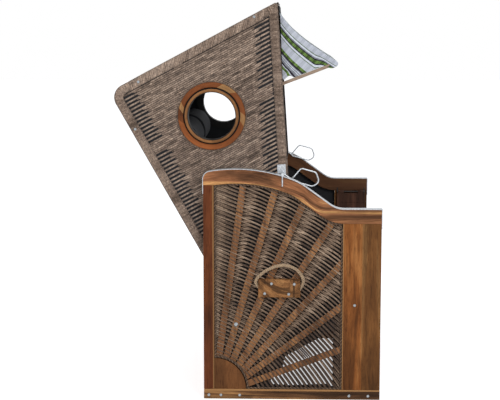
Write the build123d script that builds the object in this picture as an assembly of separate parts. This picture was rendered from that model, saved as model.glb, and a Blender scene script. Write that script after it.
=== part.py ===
"""Hooded beach chair: a two-seat wicker chair with a reclining hood, in millimetres.

+X is the way the sitter faces, +Y the sitter's left, +Z up. The model is built with X = 0 on the
rear face of the basket and Y = 0 halfway across, and is moved at the end so that its origin is the
middle of the bottom of its bounding box. "Lean" is an angle in degrees from upright, forward positive.
"""

import os
from math import acos, asin, atan2, cos, degrees, hypot, radians, sin, sqrt, tan

from build123d import *

# The basket, which is the lower half with its two side frames
basket_depth = 785.0
basket_width = 1170.0
frame_thickness = 45.0
arm_height = 858.0
skid_height = 45.0
rear_stile_width = 47.0
front_board_width = 84.5
rail_height = 62.0

# The curved top rail, which the hood's latches travel along
pivot_x = 144.0
pivot_height = 340.0
rail_crown_rise = 176.0
rail_rear_radius = 34.0
shoulder_lean = 20.0
shoulder_radius = 300.0
slope_lean = 36.0
hollow_radius = 110.0

# The metal strip on the rail, and the holes that the latches lock over
strip_thickness = 3.0
strip_width = 40.0
strip_rear_end_drop = 108.0
strip_front_end_drop = 86.0
lock_hole_diameter = 10.0
lock_hole_leans = (-9.7, -1.0, 7.7, 16.4, 25.1, 33.8)

# The infill of a side frame: weave, sun rays, sun disc and lining
sun_radius = 141.0
sun_trim = 9.0
sun_thickness = 17.0
ray_width = 29.0
ray_thickness = 8.0
ray_recess = 8.0
ray_rim_leans = (7.9, 20.9, 33.7, 47.1, 59.2, 70.6, 82.7)
ray_leans = (8.0, 16.05, 23.7, 32.5, 41.8, 52.8, 69.0)
weave_thickness = 6.0
lining_thickness = 8.0
lining_bottom_height = 430.0
lining_foot_front = 300.0
cloth_gap = 0.3

# The pivot of the hood
pivot_bolt_diameter = 12.0
pivot_head_diameter = 18.0
pivot_head_height = 5.0
pivot_bore_clearance = 0.1
pivot_post_width = 100.0
pivot_post_height = 430.0

# The carrying handle on each side
handle_rear = 243.0
handle_bottom = 468.0
handle_length = 186.0
handle_height = 80.0
handle_thickness = 28.0
handle_edge = 4.0
rope_diameter = 13.0
rope_facets = 10

# Bolts with domed heads
bolt_diameter = 13.0
bolt_height = 4.0
bolt_dome = 1.6
bolt_facets = 8
handle_bolt_shares = ((0.315, 0.78), (0.153, 0.225), (0.855, 0.765), (0.726, 0.2))
skid_bolt_rear_shares = (0.028, 0.097, 0.204)
skid_bolt_front_shares = (0.826, 0.934)
skid_bolt_height_share = 0.40
stile_bolt_height = 431.0
stile_bolt_back = 116.0

# The seat and what carries it
seat_board_height = 403.0
seat_board_thickness = 18.0
seat_board_rear = 165.0
seat_notch_front = 300.0
seat_side_clearance = 12.0
apron_thickness = 22.0
apron_height = 47.0
bearer_thickness = 25.0
bearer_bottom_height = 230.0
bearer_tongue_height = 45.0
seat_cushion_rear = 205.0
seat_cushion_thickness = 79.0
cushion_middle_gap = 6.0
cushion_side_gap = 6.0
cushion_front_gap = 5.0

# The rear of the basket
rear_panel_setback = 8.0
rear_panel_thickness = 22.0
rear_rail_depth = 35.0
rear_rail_height = 35.0
rear_panel_top = 430.0

# The footrests, which slide out at the front on runners
footrest_height = 379.0
footrest_rear = 330.0
footrest_board_bottom = 298.0
footrest_board_thickness = 20.0
footrest_middle_gap = 6.0
footrest_side_gap = 6.0
footrest_front_bottom = 8.0
footrest_pad_thickness = 58.0
footrest_pad_gap = 6.0
grip_width = 110.0
grip_depth = 30.0
grip_corner = 12.0
front_groove = 3.0
front_board_count = 5
runner_height = 22.0
runner_width = 40.0
running_gap = 0.3
front_bearer_height = 46.0
front_bearer_gap = 3.0

# The side tables, which hang folded inside the front stiles
table_width = 146.0
table_seat_gap = 135.0
table_thickness = 18.0
table_gap = 0.5
table_groove = 3.0
table_groove_shares = (0.215, 0.61)
table_pin_diameter = 8.0
table_knuckle_diameter = 16.0
table_knuckle_length = 30.0
table_ear_thickness = 6.0
table_pin_clearance = 0.1
table_pin_drop = 66.0

# The hood, measured along its own rear edge, which passes just in front of the pivot
hood_lean = -29.4
hood_gap = 12.0
hood_side_thickness = 32.0
hood_infill_thickness = 16.0
hood_outer_recess = 3.0
hood_border = 38.0
hood_rear_offset = 19.0
hood_rear_height = 1169.0
hood_front_height = 1149.0
hood_front_reach = 852.0
hood_corner_radius = 58.0
hood_brow_radius = 8.0
latch_corner_lean = 48.627
latch_corner_drop = 1.05
latch_corner_radius = 20.0
hood_ear_radius = 45.0
hood_skin_thickness = 18.0
hood_back_bottom = 70.0
hood_lining_thickness = 5.7
hood_lining_inset = 40.0
hood_lining_bottom = 150.0

# The portholes
porthole_reach = 360.0
porthole_height = 858.0
porthole_radius = 104.0
porthole_lip = 17.0
porthole_groove = 4.0
porthole_ring_radius = 148.0
porthole_ring_proud = 8.0
porthole_lip_proud = 12.0
porthole_sleeve_wall = 8.0
porthole_inner_flange = 26.0
porthole_inner_proud = 6.0
porthole_fit = 0.5

# The cushions inside the hood
back_cushion_thickness = 50.0
back_cushion_bottom = 150.0
back_cushion_headroom = 79.0
roll_radius = 92.0
roll_drop = 257.0
roll_length = 440.0
roll_edge = 20.0
cushion_crown_share = 0.22
cushion_edge_share = 0.45
cushion_edge_taper = 35.0
cushion_pull_share = 0.012
channel_radius = 9.0
channel_shares = (0.2, 0.4, 0.6, 0.8)

# The latches: a plate on the hood's lower front corner and a wire bail
plate_width = 37.0
plate_height = 49.0
plate_thickness = 3.0
plate_lean = 26.0
plate_middle_lean = 45.651
plate_middle_rise = 21.28
stud_lean = 46.243
stud_rise = 10.16
stud_diameter = 7.0
stud_head_diameter = 15.0
stud_head_height = 4.0
sleeve_diameter = 12.0
sleeve_bore_clearance = 0.2
bail_wire = 6.0
wire_facets = 8
bail_finger_length = 54.0
bail_gap = 0.5
bail_outside_gap = 1.2
bail_length = 164.0
bail_forward_shares = (0.22, 0.50, 0.90, 1.0, 0.80)
bail_upward_shares = (-0.20, 0.13, 0.02, -0.25, -0.36)
bail_corner_shares = (0.06, 0.09, 0.10, 0.14, 0.12)

# The awning: a bow of two slats and a bar, and the cloth between it and the hood
bow_pivot_share = 0.5369
bow_pivot_inset = 10.25
bow_length = 248.6
bow_lean = 98.3
bow_slat_height = 14.0
bow_slat_thickness = 8.0
bow_side_gap = 0.5
bow_bar_diameter = 22.0
bow_pin_diameter = 8.0
bow_pin_clearance = 0.1
bow_pin_head = 14.0
bow_pin_head_height = 3.0
bow_pin_depth = 14.0
awning_thickness = 3.0
awning_sag = 16.0
awning_side_thickness = 3.0
awning_gap = 1.0
awning_hem = 14.0
awning_wrap_lean = 58.0
awning_top_drop = 4.0
awning_flap = 50.0
roof_screw_shares = (0.16, 0.858)
roof_screw_drops = (20.2, 9.7)
rear_screw_inset = 17.5
rear_screw_share = 0.832

# One overrun for every cut
overrun = 60.0

# Places that follow from the sizes above
half_width = basket_width / 2
frame_inside = half_width - frame_thickness
front_stile_rear = basket_depth - 2 * front_board_width
ray_outside = half_width - ray_recess
ray_inside = ray_outside - ray_thickness
weave_inside = ray_inside - weave_thickness
hood_outside = frame_inside - hood_gap
hood_inside = hood_outside - hood_side_thickness
seat_side = hood_inside - seat_side_clearance
pivot = (pivot_x, pivot_height)
rail_radius = arm_height - pivot_height + rail_crown_rise
rail_underside = arm_height - rail_height
strip_rear_end_height = pivot_height + rail_radius - strip_rear_end_drop
strip_front_end_height = arm_height - strip_front_end_drop
latch_swing = rail_radius - latch_corner_drop
latch_corner_reach = latch_swing * sin(radians(latch_corner_lean))
latch_corner_height = latch_swing * cos(radians(latch_corner_lean))
plate_reach = (rail_radius + plate_middle_rise) * sin(radians(plate_middle_lean))
plate_at_height = (rail_radius + plate_middle_rise) * cos(radians(plate_middle_lean))
stud_reach = (rail_radius + stud_rise) * sin(radians(stud_lean))
stud_height = (rail_radius + stud_rise) * cos(radians(stud_lean))
bow_pivot_height = latch_corner_height + (hood_front_height - latch_corner_height) * bow_pivot_share
bow_pivot_reach = (latch_corner_reach + (hood_front_reach - latch_corner_reach) * bow_pivot_share
                   - bow_pivot_inset)
back_cushion_top = hood_rear_height - back_cushion_headroom
roll_height = back_cushion_top - roll_drop
bail_middle = hood_outside + plate_thickness + bail_gap + bail_wire / 2
stem_root = (stud_reach, stud_height)

nodes = {}


def on_circle(centre, radius, lean):
    """The point of a circle that lies at a lean from straight above its centre."""
    return (centre[0] + radius * sin(radians(lean)), centre[1] + radius * cos(radians(lean)))


def arc_of(centre, radius, start_lean, end_lean):
    """An arc of a circle from one lean to another."""
    middle_lean = (start_lean + end_lean) / 2
    return ThreePointArc(*(on_circle(centre, radius, lean) for lean in (start_lean, middle_lean, end_lean)))


def slab(profile, low_y, high_y):
    """A profile drawn in X and Z, made solid from low_y to high_y."""
    standing = Plane((0, low_y, 0), x_dir=(1, 0, 0), z_dir=(0, -1, 0))
    return extrude(standing * profile, amount=-(high_y - low_y))


def oblong(low_x, high_x, low_z, high_z):
    """A rectangle in a profile, by its sides."""
    return Pos((low_x + high_x) / 2, (low_z + high_z) / 2) * Rectangle(high_x - low_x, high_z - low_z)


def block(low_x, high_x, low_y, high_y, low_z, high_z):
    """A box by its six sides."""
    middle = ((low_x + high_x) / 2, (low_y + high_y) / 2, (low_z + high_z) / 2)
    return Pos(*middle) * Box(high_x - low_x, high_y - low_y, high_z - low_z)


def rod_along_y(place, diameter, low_y, high_y):
    """A round bar across the chair, at a place in X and Z."""
    return slab(Pos(*place) * Circle(diameter / 2), low_y, high_y)


def reclined(shape):
    """Takes a shape from the hood's own upright frame, with the pivot at zero, to its place at rest."""
    return Pos(pivot_x, 0, pivot_height) * Rot(0, hood_lean, 0) * shape


def add(name, shape):
    """Keeps a shape as a node of its own."""
    nodes[name] = shape


def add_pair(name, shape):
    """Keeps a shape of the left side, and its mirror image on the right, as two nodes."""
    add(name + "_left", shape)
    add(name + "_right", mirror(shape, about=Plane.XZ))


def both_sides(shapes):
    """The solids of the left side with their mirror images."""
    solids = [solid for shape in shapes for solid in shape.solids()]
    return solids + [mirror(solid, about=Plane.XZ) for solid in solids]


def under_rail_top(shift, rounded_rear):
    """The area below the top edge of a side frame, with that edge moved outward by shift."""
    floor_z = -overrun
    shoulder_centre = on_circle(pivot, rail_radius - shoulder_radius, shoulder_lean)
    slope_top = on_circle(shoulder_centre, shoulder_radius, slope_lean)
    hollow_drop = hollow_radius * (1 - cos(radians(slope_lean)))
    slope_length = (slope_top[1] - arm_height - hollow_drop) / sin(radians(slope_lean))
    slope_end_x = slope_top[0] + slope_length * cos(radians(slope_lean))
    hollow_centre = (slope_end_x + hollow_radius * sin(radians(slope_lean)), arm_height + hollow_radius)
    if rounded_rear:
        corner_run = rail_radius - rail_rear_radius
        corner_lean = -degrees(asin((pivot_x - rail_rear_radius) / corner_run))
        corner_centre = on_circle(pivot, corner_run, corner_lean)
        rear_x = -shift
        edges = [arc_of(corner_centre, rail_rear_radius + shift, -90, corner_lean)]
    else:
        rear_x = -overrun
        corner_lean = -degrees(asin((pivot_x + overrun) / (rail_radius + shift)))
        edges = []
    edges.append(arc_of(pivot, rail_radius + shift, corner_lean, shoulder_lean))
    edges.append(arc_of(shoulder_centre, shoulder_radius + shift, shoulder_lean, slope_lean))
    edges.append(Line(edges[-1] @ 1, on_circle(hollow_centre, hollow_radius - shift, 180 + slope_lean)))
    edges.append(arc_of(hollow_centre, hollow_radius - shift, 180 + slope_lean, 180))
    front_x = basket_depth + (shift if rounded_rear else overrun)
    top_z = arm_height + shift
    first = edges[0] @ 0
    edges.append(Polyline(edges[-1] @ 1, (front_x, top_z), (front_x, floor_z), (rear_x, floor_z), first))
    return make_face(edges)


def infill_area(inset):
    """The opening of a side frame that the weave fills, less an inset all round."""
    window = oblong(
        rear_stile_width + inset, front_stile_rear - inset, skid_height + inset, arm_height + rail_radius
    )
    return under_rail_top(-rail_height - inset, False) & window


def build_side_frame():
    """The wooden frame of a side: top rail, two stiles, skid, and the strip on the rail."""
    rear_join = pivot_height + sqrt((rail_radius - rail_height) ** 2 - (pivot_x - rear_stile_width) ** 2)
    behind = oblong(-overrun, rear_stile_width, -overrun, rear_join)
    rail = under_rail_top(0, True) - under_rail_top(-rail_height, False) - behind
    add_pair("top_rail", slab(rail, frame_inside, half_width))
    add_pair("rear_stile", block(0, rear_stile_width, frame_inside, half_width, skid_height, rear_join))
    seam = front_stile_rear + front_board_width
    inner = block(front_stile_rear, seam, frame_inside, half_width, skid_height, rail_underside)
    outer = block(seam, basket_depth, frame_inside, half_width, skid_height, rail_underside)
    add_pair("front_stile", Compound([inner, outer]))
    add_pair("skid", block(0, basket_depth, frame_inside, half_width, 0, skid_height))
    strip = under_rail_top(strip_thickness, True) - under_rail_top(0, True)
    strip -= oblong(-overrun, pivot_x, -2 * overrun, strip_rear_end_height)
    strip -= oblong(pivot_x, basket_depth + overrun, -2 * overrun, strip_front_end_height)
    strip_inside = (frame_inside + half_width - strip_width) / 2
    strip_solid = slab(strip, strip_inside, strip_inside + strip_width)
    for lean in lock_hole_leans:
        drill = Cylinder(lock_hole_diameter / 2, 2 * overrun)
        place = on_circle(pivot, rail_radius, lean)
        strip_solid -= Pos(place[0], (frame_inside + half_width) / 2, place[1]) * Rot(0, lean, 0) * drill
    add("rail_strips", Compound(both_sides([strip_solid])))


def build_infill():
    """The weave panel, the quarter sun with its rays, and the cloth lining behind."""
    corner = (rear_stile_width, skid_height)
    add_pair("sun_disc", slab(infill_area(0) & (Pos(*corner) * Circle(sun_radius)),
                              weave_inside, weave_inside + sun_thickness))
    trim = Pos(*corner) * Circle(sun_radius + sun_trim)
    field = infill_area(0) - trim
    bore = rod_along_y(pivot, pivot_bolt_diameter, 0, half_width + overrun)
    rays = []
    for rim_lean, lean in zip(ray_rim_leans, ray_leans):
        start = on_circle(corner, sun_radius - sun_trim, rim_lean)
        slat = Rectangle(ray_width, 2 * arm_height, align=(Align.CENTER, Align.MIN))
        rays.append(slab((Pos(*start) * Rot(0, 0, -lean) * slat) & field, ray_inside, ray_outside) - bore)
    add_pair("sun_rays", Compound([solid for ray in rays for solid in ray.solids()]))
    weave = infill_area(0) - Pos(*corner) * Circle(sun_radius)
    add_pair("side_weave", slab(weave, weave_inside, ray_inside) - bore)
    lining = infill_area(cloth_gap) - oblong(lining_foot_front, basket_depth, 0, lining_bottom_height + cloth_gap)
    half_post = pivot_post_width / 2 + cloth_gap
    lining -= oblong(pivot_x - half_post, pivot_x + half_post, 0, pivot_post_height + cloth_gap)
    add("side_linings", Compound(both_sides(
        [slab(lining, frame_inside, frame_inside + lining_thickness)])))


def build_pivots():
    """The post that each pivot bolt passes through, and the bolts with their nuts."""
    half_post = pivot_post_width / 2
    post = block(pivot_x - half_post, pivot_x + half_post, frame_inside, weave_inside,
                 skid_height, pivot_post_height)
    post -= rod_along_y(pivot, pivot_bolt_diameter, 0, half_width)
    add("pivot_posts", Compound(both_sides([post])))
    nut_inside = hood_inside - hood_lining_thickness
    bolt = rod_along_y(pivot, pivot_bolt_diameter, nut_inside, ray_outside)
    head = rod_along_y(pivot, pivot_head_diameter, ray_outside, ray_outside + pivot_head_height)
    head = chamfer(head.edges().group_by(Axis.Y)[-1], pivot_head_height / 2)
    nut = rod_along_y(pivot, pivot_head_diameter, nut_inside, hood_inside - running_gap)
    add("pivot_bolts", Compound(both_sides([bolt + head + nut])))


def domed_bolt(x, z, face_y):
    """The head of a bolt that sits on a face looking to +Y."""
    outline = Pos(x, z) * RegularPolygon(bolt_diameter / 2, bolt_facets)
    head = slab(outline, face_y, face_y + bolt_height)
    return chamfer(head.edges().group_by(Axis.Y)[-1], bolt_dome)


def build_handle():
    """The wooden block bolted over the rays, and the rope loop that comes out of its two ends."""
    front = handle_rear + handle_length
    top = handle_bottom + handle_height
    outside = ray_outside + handle_thickness
    body = block(handle_rear, front, ray_outside, outside, handle_bottom, top)
    body = chamfer(body.edges().group_by(Axis.Y)[-1], handle_edge)
    add_pair("handle_block", body)
    # The route starts and ends inside the block, whose end faces cut the rope off flat.
    rope_y = ray_outside + handle_thickness / 2
    route = [
        (255.0, rope_y, 505.0),
        (226.0, rope_y, 527.0),
        (241.0, rope_y, 558.0),
        (282.0, rope_y, 592.0),
        (347.0, rope_y, 615.0),
        (405.0, rope_y, 600.0),
        (437.0, rope_y, 566.0),
        (446.0, rope_y, 530.0),
        (423.0, rope_y, 500.0),
    ]
    add_pair("rope_handle", cord_tube(route, rope_diameter) - body)


def cord_tube(route, diameter):
    """A tube along straight runs joined by tangent arcs, as large as the runs allow."""
    radii = []
    for before, here, after in zip(route, route[1:], route[2:]):
        run_in = Vector(*here) - Vector(*before)
        run_out = Vector(*after) - Vector(*here)
        turn = run_in.get_angle(run_out)
        shorter = min(run_in.length, run_out.length)
        radii.append(0.45 * shorter / tan(radians(turn / 2)))
    print("rope arc radii", [round(radius, 1) for radius in radii])
    path = FilletPolyline(*route, radius=radii)
    section = Plane(path @ 0, z_dir=path % 0) * RegularPolygon(diameter / 2, rope_facets)
    tube = sweep(section, path=path)
    print("rope length", round(path.length, 1), "volume ratio",
          round(tube.volume / (path.length * section.area), 4))
    return tube


def build_frame_bolts():
    """The bolt heads on the outside of each side frame."""
    left = []
    for along, up in handle_bolt_shares:
        left.append(domed_bolt(handle_rear + handle_length * along, handle_bottom + handle_height * up,
                               ray_outside + handle_thickness))
    for share in skid_bolt_rear_shares + skid_bolt_front_shares:
        left.append(domed_bolt(basket_depth * share, skid_height * skid_bolt_height_share, half_width))
    left.append(domed_bolt(basket_depth - stile_bolt_back, stile_bolt_height, half_width))
    add("frame_bolts", Compound(both_sides(left)))


def build_seat():
    """The seat board with its bearers and apron, the rear of the basket, and the seat cushions."""
    board_bottom = seat_board_height - seat_board_thickness
    board_front = basket_depth - apron_thickness
    board = block(seat_board_rear, board_front, -frame_inside, frame_inside, board_bottom, seat_board_height)
    for low_y, high_y in ((seat_side, half_width), (-half_width, -seat_side)):
        board -= block(0, seat_notch_front, low_y, high_y, 0, arm_height)
    add("seat_board", board)
    add("seat_apron", block(board_front, basket_depth, -frame_inside, frame_inside,
                            board_bottom, board_bottom + apron_height))
    bearer = block(seat_board_rear, seat_board_rear + bearer_thickness, -seat_side, seat_side,
                   bearer_bottom_height, board_bottom)
    bearer += block(seat_board_rear, seat_board_rear + bearer_thickness, -frame_inside, frame_inside,
                    bearer_bottom_height, bearer_bottom_height + bearer_tongue_height)
    panel = block(rear_panel_setback, rear_panel_setback + rear_panel_thickness, -frame_inside,
                  frame_inside, skid_height, rear_panel_top - rear_rail_height)
    add("rear_panel", panel)
    top_rail = block(0, rear_rail_depth, -frame_inside, frame_inside,
                     rear_panel_top - rear_rail_height, rear_panel_top)
    sill = block(0, rear_rail_depth, -frame_inside, frame_inside, 0, skid_height)
    bearer_front = board_front - front_bearer_gap
    bearer_top = footrest_board_bottom - running_gap
    front_bearer = block(bearer_front - bearer_thickness, bearer_front, -frame_inside, frame_inside,
                         bearer_top - front_bearer_height, bearer_top)
    add("cross_rails", Compound([top_rail, sill, bearer, front_bearer]))
    low_y = cushion_middle_gap / 2
    high_y = seat_side - cushion_side_gap
    cushion = pillow(seat_cushion_rear, board_front - cushion_front_gap, low_y, high_y,
                     seat_cushion_thickness)
    add_pair("seat_cushion", Pos(0, 0, seat_board_height + cloth_gap) * cushion)


def crown_radius(span, thickness):
    """The radius of the wide arc that gives a cushion its crown over a span."""
    crown = thickness * cushion_crown_share
    return ((span / 2) ** 2 + crown ** 2) / (2 * crown)


def pillow(low_x, high_x, low_y, high_y, thickness):
    """A cushion that lies on Z = 0: flat below, crowned above, its sides drawn in between the corners."""
    length, width = high_x - low_x, high_y - low_y
    pull = length * cushion_pull_share
    corners = [(-length / 2, -width / 2), (length / 2, -width / 2), (length / 2, width / 2),
               (-length / 2, width / 2)]
    bows = [(0, -width / 2 + pull), (length / 2 - pull, 0), (0, width / 2 - pull), (-length / 2 + pull, 0)]
    sides = []
    for number, bow in enumerate(bows):
        sides.append(ThreePointArc(corners[number], bow, corners[(number + 1) % len(corners)]))
    plan = make_face(sides)
    plan = fillet(plan.vertices(), thickness / 2)
    edge = thickness * cushion_edge_share
    solid = extrude(plan, amount=thickness - edge)
    solid += Pos(0, 0, thickness - edge) * extrude(plan, amount=edge, taper=cushion_edge_taper)
    for span, other, turn in ((length, width, Rot(90, 0, 0)), (width, length, Rot(0, 90, 0))):
        radius = crown_radius(span, thickness)
        solid &= Pos(0, 0, thickness - radius) * turn * Cylinder(radius, 2 * other)
    return Pos((low_x + high_x) / 2, (low_y + high_y) / 2, 0) * solid


def build_footrests():
    """The two footrests with their pads, their fronts and the runners that they slide on."""
    low_y = footrest_middle_gap / 2
    high_y = frame_inside - footrest_side_gap
    front_rear = basket_depth - apron_thickness
    board_top = footrest_board_bottom + footrest_board_thickness
    add_pair("footrest_board", block(footrest_rear, front_rear, low_y, high_y,
                                     footrest_board_bottom, board_top))
    face = block(front_rear, basket_depth, low_y, high_y, footrest_front_bottom, footrest_height)
    middle_y = (low_y + high_y) / 2
    notch = block(front_rear - overrun, basket_depth + overrun, middle_y - grip_width / 2,
                  middle_y + grip_width / 2, footrest_height - grip_depth, footrest_height + overrun)
    notch = fillet(notch.edges().filter_by(Axis.X).group_by(Axis.Z)[0], grip_corner)
    face -= notch
    board_pitch = (footrest_height - footrest_front_bottom) / front_board_count
    for number in range(1, front_board_count):
        groove = Rot(0, 45, 0) * Box(front_groove, basket_width, front_groove)
        face -= Pos(basket_depth, 0, footrest_front_bottom + number * board_pitch) * groove
    add_pair("footrest_front", face)
    pad = pillow(footrest_rear + footrest_pad_gap, front_rear - footrest_pad_gap, low_y + footrest_pad_gap,
                 high_y - footrest_pad_gap, footrest_pad_thickness)
    add_pair("footrest_pad", Pos(0, 0, board_top + cloth_gap) * pad)
    runner_top = footrest_board_bottom - running_gap
    runner_rear = seat_board_rear + bearer_thickness
    bearer_rear = front_rear - front_bearer_gap - bearer_thickness
    runners = []
    for middle in (-(seat_side - runner_width / 2), 0, seat_side - runner_width / 2):
        runners.append(block(runner_rear, bearer_rear, middle - runner_width / 2, middle + runner_width / 2,
                             runner_top - runner_height, runner_top))
    add("footrest_runners", Compound(runners))


def build_side_tables():
    """The folded side tables with the pins and ears that they hang from."""
    middle_x = front_stile_rear + front_board_width
    low_x, high_x = middle_x - table_width / 2, middle_x + table_width / 2
    outside = frame_inside - table_gap
    pin = (outside - table_thickness / 2, arm_height - table_pin_drop)
    knuckle_radius = table_knuckle_diameter / 2
    top = pin[1] - knuckle_radius / 2
    table_length = top - seat_board_height - table_seat_gap
    leaf = block(low_x, high_x, outside - table_thickness, outside, top - table_length, top)
    for share in table_groove_shares:
        groove = Rot(45, 0, 0) * Box(basket_depth, table_groove, table_groove)
        leaf -= Pos(middle_x, outside - table_thickness, top - table_length * share) * groove
    for end, sense in ((low_x, 1), (high_x, -1)):
        ear_end = end + sense * (table_ear_thickness + running_gap)
        knuckle = Cylinder(knuckle_radius, table_knuckle_length)
        middle = ear_end + sense * table_knuckle_length / 2
        leaf += Pos(middle, *pin) * Rot(0, 90, 0) * knuckle
        corner = sorted((end, ear_end))
        leaf -= block(corner[0] - overrun * (sense > 0), corner[1] + overrun * (sense < 0),
                      0, half_width, pin[1] - knuckle_radius - running_gap, arm_height)
    bore = Cylinder(table_pin_diameter / 2 + table_pin_clearance, table_width + overrun)
    leaf -= Pos(middle_x, *pin) * Rot(0, 90, 0) * bore
    swing = knuckle_radius + running_gap
    leaf -= block(low_x + table_ear_thickness + running_gap + table_knuckle_length,
                  high_x - table_ear_thickness - running_gap - table_knuckle_length,
                  0, half_width, pin[1] - swing, arm_height)
    add_pair("side_table", leaf)
    rod = Pos(middle_x, *pin) * Rot(0, 90, 0) * Cylinder(table_pin_diameter / 2, table_width)
    hinge = rod
    for low in (low_x, high_x - table_ear_thickness):
        ear = Pos(low + table_ear_thickness / 2, *pin) * Rot(0, 90, 0) * Cylinder(
            knuckle_radius, table_ear_thickness)
        ear += block(low, low + table_ear_thickness, pin[0], frame_inside,
                     pin[1] - knuckle_radius, pin[1] + knuckle_radius)
        ear += block(low, low + table_ear_thickness, outside, frame_inside,
                     rail_underside, rail_underside + table_knuckle_diameter)
        hinge += ear
    add("table_hinges", Compound(both_sides([hinge])))
    print("table pin", middle_x, *pin)


def lower_edge_touch():
    """Where the hood's lower edge runs into the round ear about the pivot."""
    far = hypot(latch_corner_reach, latch_corner_height)
    to_corner = degrees(atan2(latch_corner_reach, latch_corner_height))
    return on_circle((0, 0), hood_ear_radius, to_corner + degrees(acos(hood_ear_radius / far)))


def hood_outline():
    """The hood seen from the side, upright, with the pivot at zero."""
    rear_bottom = (hood_rear_offset, 0)
    rear_top = (hood_rear_offset, hood_rear_height)
    brow = (hood_front_reach, hood_front_height)
    latch_corner = (latch_corner_reach, latch_corner_height)
    outline = make_face(Polyline(rear_bottom, rear_top, brow, latch_corner, lower_edge_touch(), (0, 0),
                                 close=True))
    for corner, radius in ((rear_top, hood_corner_radius), (brow, hood_brow_radius),
                           (latch_corner, latch_corner_radius)):
        vertex = outline.vertices().sort_by_distance((*corner, 0))[0]
        outline = fillet(vertex, radius)
    return outline + Circle(hood_ear_radius)


def hood_field(inset):
    """The four-sided field inside the hood's border, seen from the side."""
    touch = lower_edge_touch()
    rise = (latch_corner_height - touch[1]) / (latch_corner_reach - touch[0])
    foot = (hood_rear_offset, touch[1] - (touch[0] - hood_rear_offset) * rise)
    field = make_face(Polyline(foot, (hood_rear_offset, hood_rear_height),
                               (hood_front_reach, hood_front_height),
                               (latch_corner_reach, latch_corner_height), close=True))
    return offset(field, -inset, kind=Kind.INTERSECTION)


def hood_skin():
    """The back and the roof of the hood in one bent band, seen from the side."""
    inner = hood_rear_offset + hood_skin_thickness
    outer_corner = (hood_rear_offset, hood_rear_height)
    inner_corner = (inner, roof_underside(inner))
    brow_reach = hood_front_reach - hood_skin_thickness * tan(radians(brow_lean()))
    brow_inside = (brow_reach, roof_underside(brow_reach))
    band = make_face(Polyline((hood_rear_offset, hood_back_bottom), outer_corner,
                              (hood_front_reach, hood_front_height), brow_inside, inner_corner,
                              (inner, hood_back_bottom), close=True))
    for corner, radius in ((outer_corner, hood_corner_radius),
                           (inner_corner, hood_corner_radius - hood_skin_thickness)):
        vertex = band.vertices().sort_by_distance((*corner, 0))[0]
        band = fillet(vertex, radius)
    return band


def roof_underside(reach):
    """The height of the roof's inner face at a reach from the hood's rear."""
    fall = (hood_rear_height - hood_front_height) / (hood_front_reach - hood_rear_offset)
    return hood_rear_height - hood_skin_thickness - fall * (reach - hood_rear_offset)


def brow_lean():
    """The forward lean of the hood's front edge."""
    return degrees(atan2(hood_front_reach - latch_corner_reach, hood_front_height - latch_corner_height))


def build_hood():
    """The two side walls, the back, the roof and the thin linings inside."""
    outline = hood_outline()
    inner_area = hood_field(hood_border)
    infill_outside = hood_outside - hood_outer_recess
    side = slab(outline, hood_inside, hood_outside)
    side -= slab(inner_area, hood_inside - overrun, infill_outside - hood_infill_thickness)
    side -= slab(inner_area, infill_outside, hood_outside + overrun)
    porthole = (porthole_reach, porthole_height)
    sleeve_radius = porthole_radius + porthole_sleeve_wall
    side -= rod_along_y(porthole, 2 * (sleeve_radius + porthole_fit), 0, half_width)
    side -= rod_along_y((0, 0), pivot_bolt_diameter + 2 * pivot_bore_clearance, 0, half_width)
    bow_pivot = (bow_pivot_reach, bow_pivot_height)
    side -= rod_along_y(bow_pivot, bow_pin_diameter, 0, hood_inside + bow_pin_depth)
    add_pair("hood_side", reclined(side))
    skin = hood_skin()
    split = hood_rear_offset + hood_corner_radius
    reach = hood_front_reach + overrun
    top = max(hood_rear_height, hood_front_height) + overrun
    back = skin & oblong(0, split, 0, top)
    roof = skin & oblong(split, reach, 0, top)
    add("hood_back", reclined(slab(back, -hood_inside, hood_inside)))
    add("hood_roof", reclined(slab(roof, -hood_inside, hood_inside)))
    lining_area = hood_field(hood_lining_inset) - oblong(-overrun, reach, -overrun, hood_lining_bottom)
    lining = slab(lining_area, hood_inside - hood_lining_thickness, hood_inside)
    lining -= rod_along_y(porthole, 2 * (sleeve_radius + porthole_fit), 0, half_width)
    lining_node = Pos(0, -cloth_gap, 0) * lining
    roof_rear = hood_rear_offset + hood_corner_radius + hood_skin_thickness
    roof_front = hood_front_reach - hood_border
    corners = [(roof_rear, roof_underside(roof_rear)), (roof_front, roof_underside(roof_front))]
    corners += [(x, z - hood_lining_thickness) for x, z in reversed(corners)]
    roof_lining = slab(make_face(Polyline(*corners, close=True)), -seat_side, seat_side)
    linings = both_sides([lining_node]) + [Pos(0, 0, -cloth_gap) * roof_lining]
    add("hood_linings", Compound([reclined(sheet) for sheet in linings]))


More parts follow.
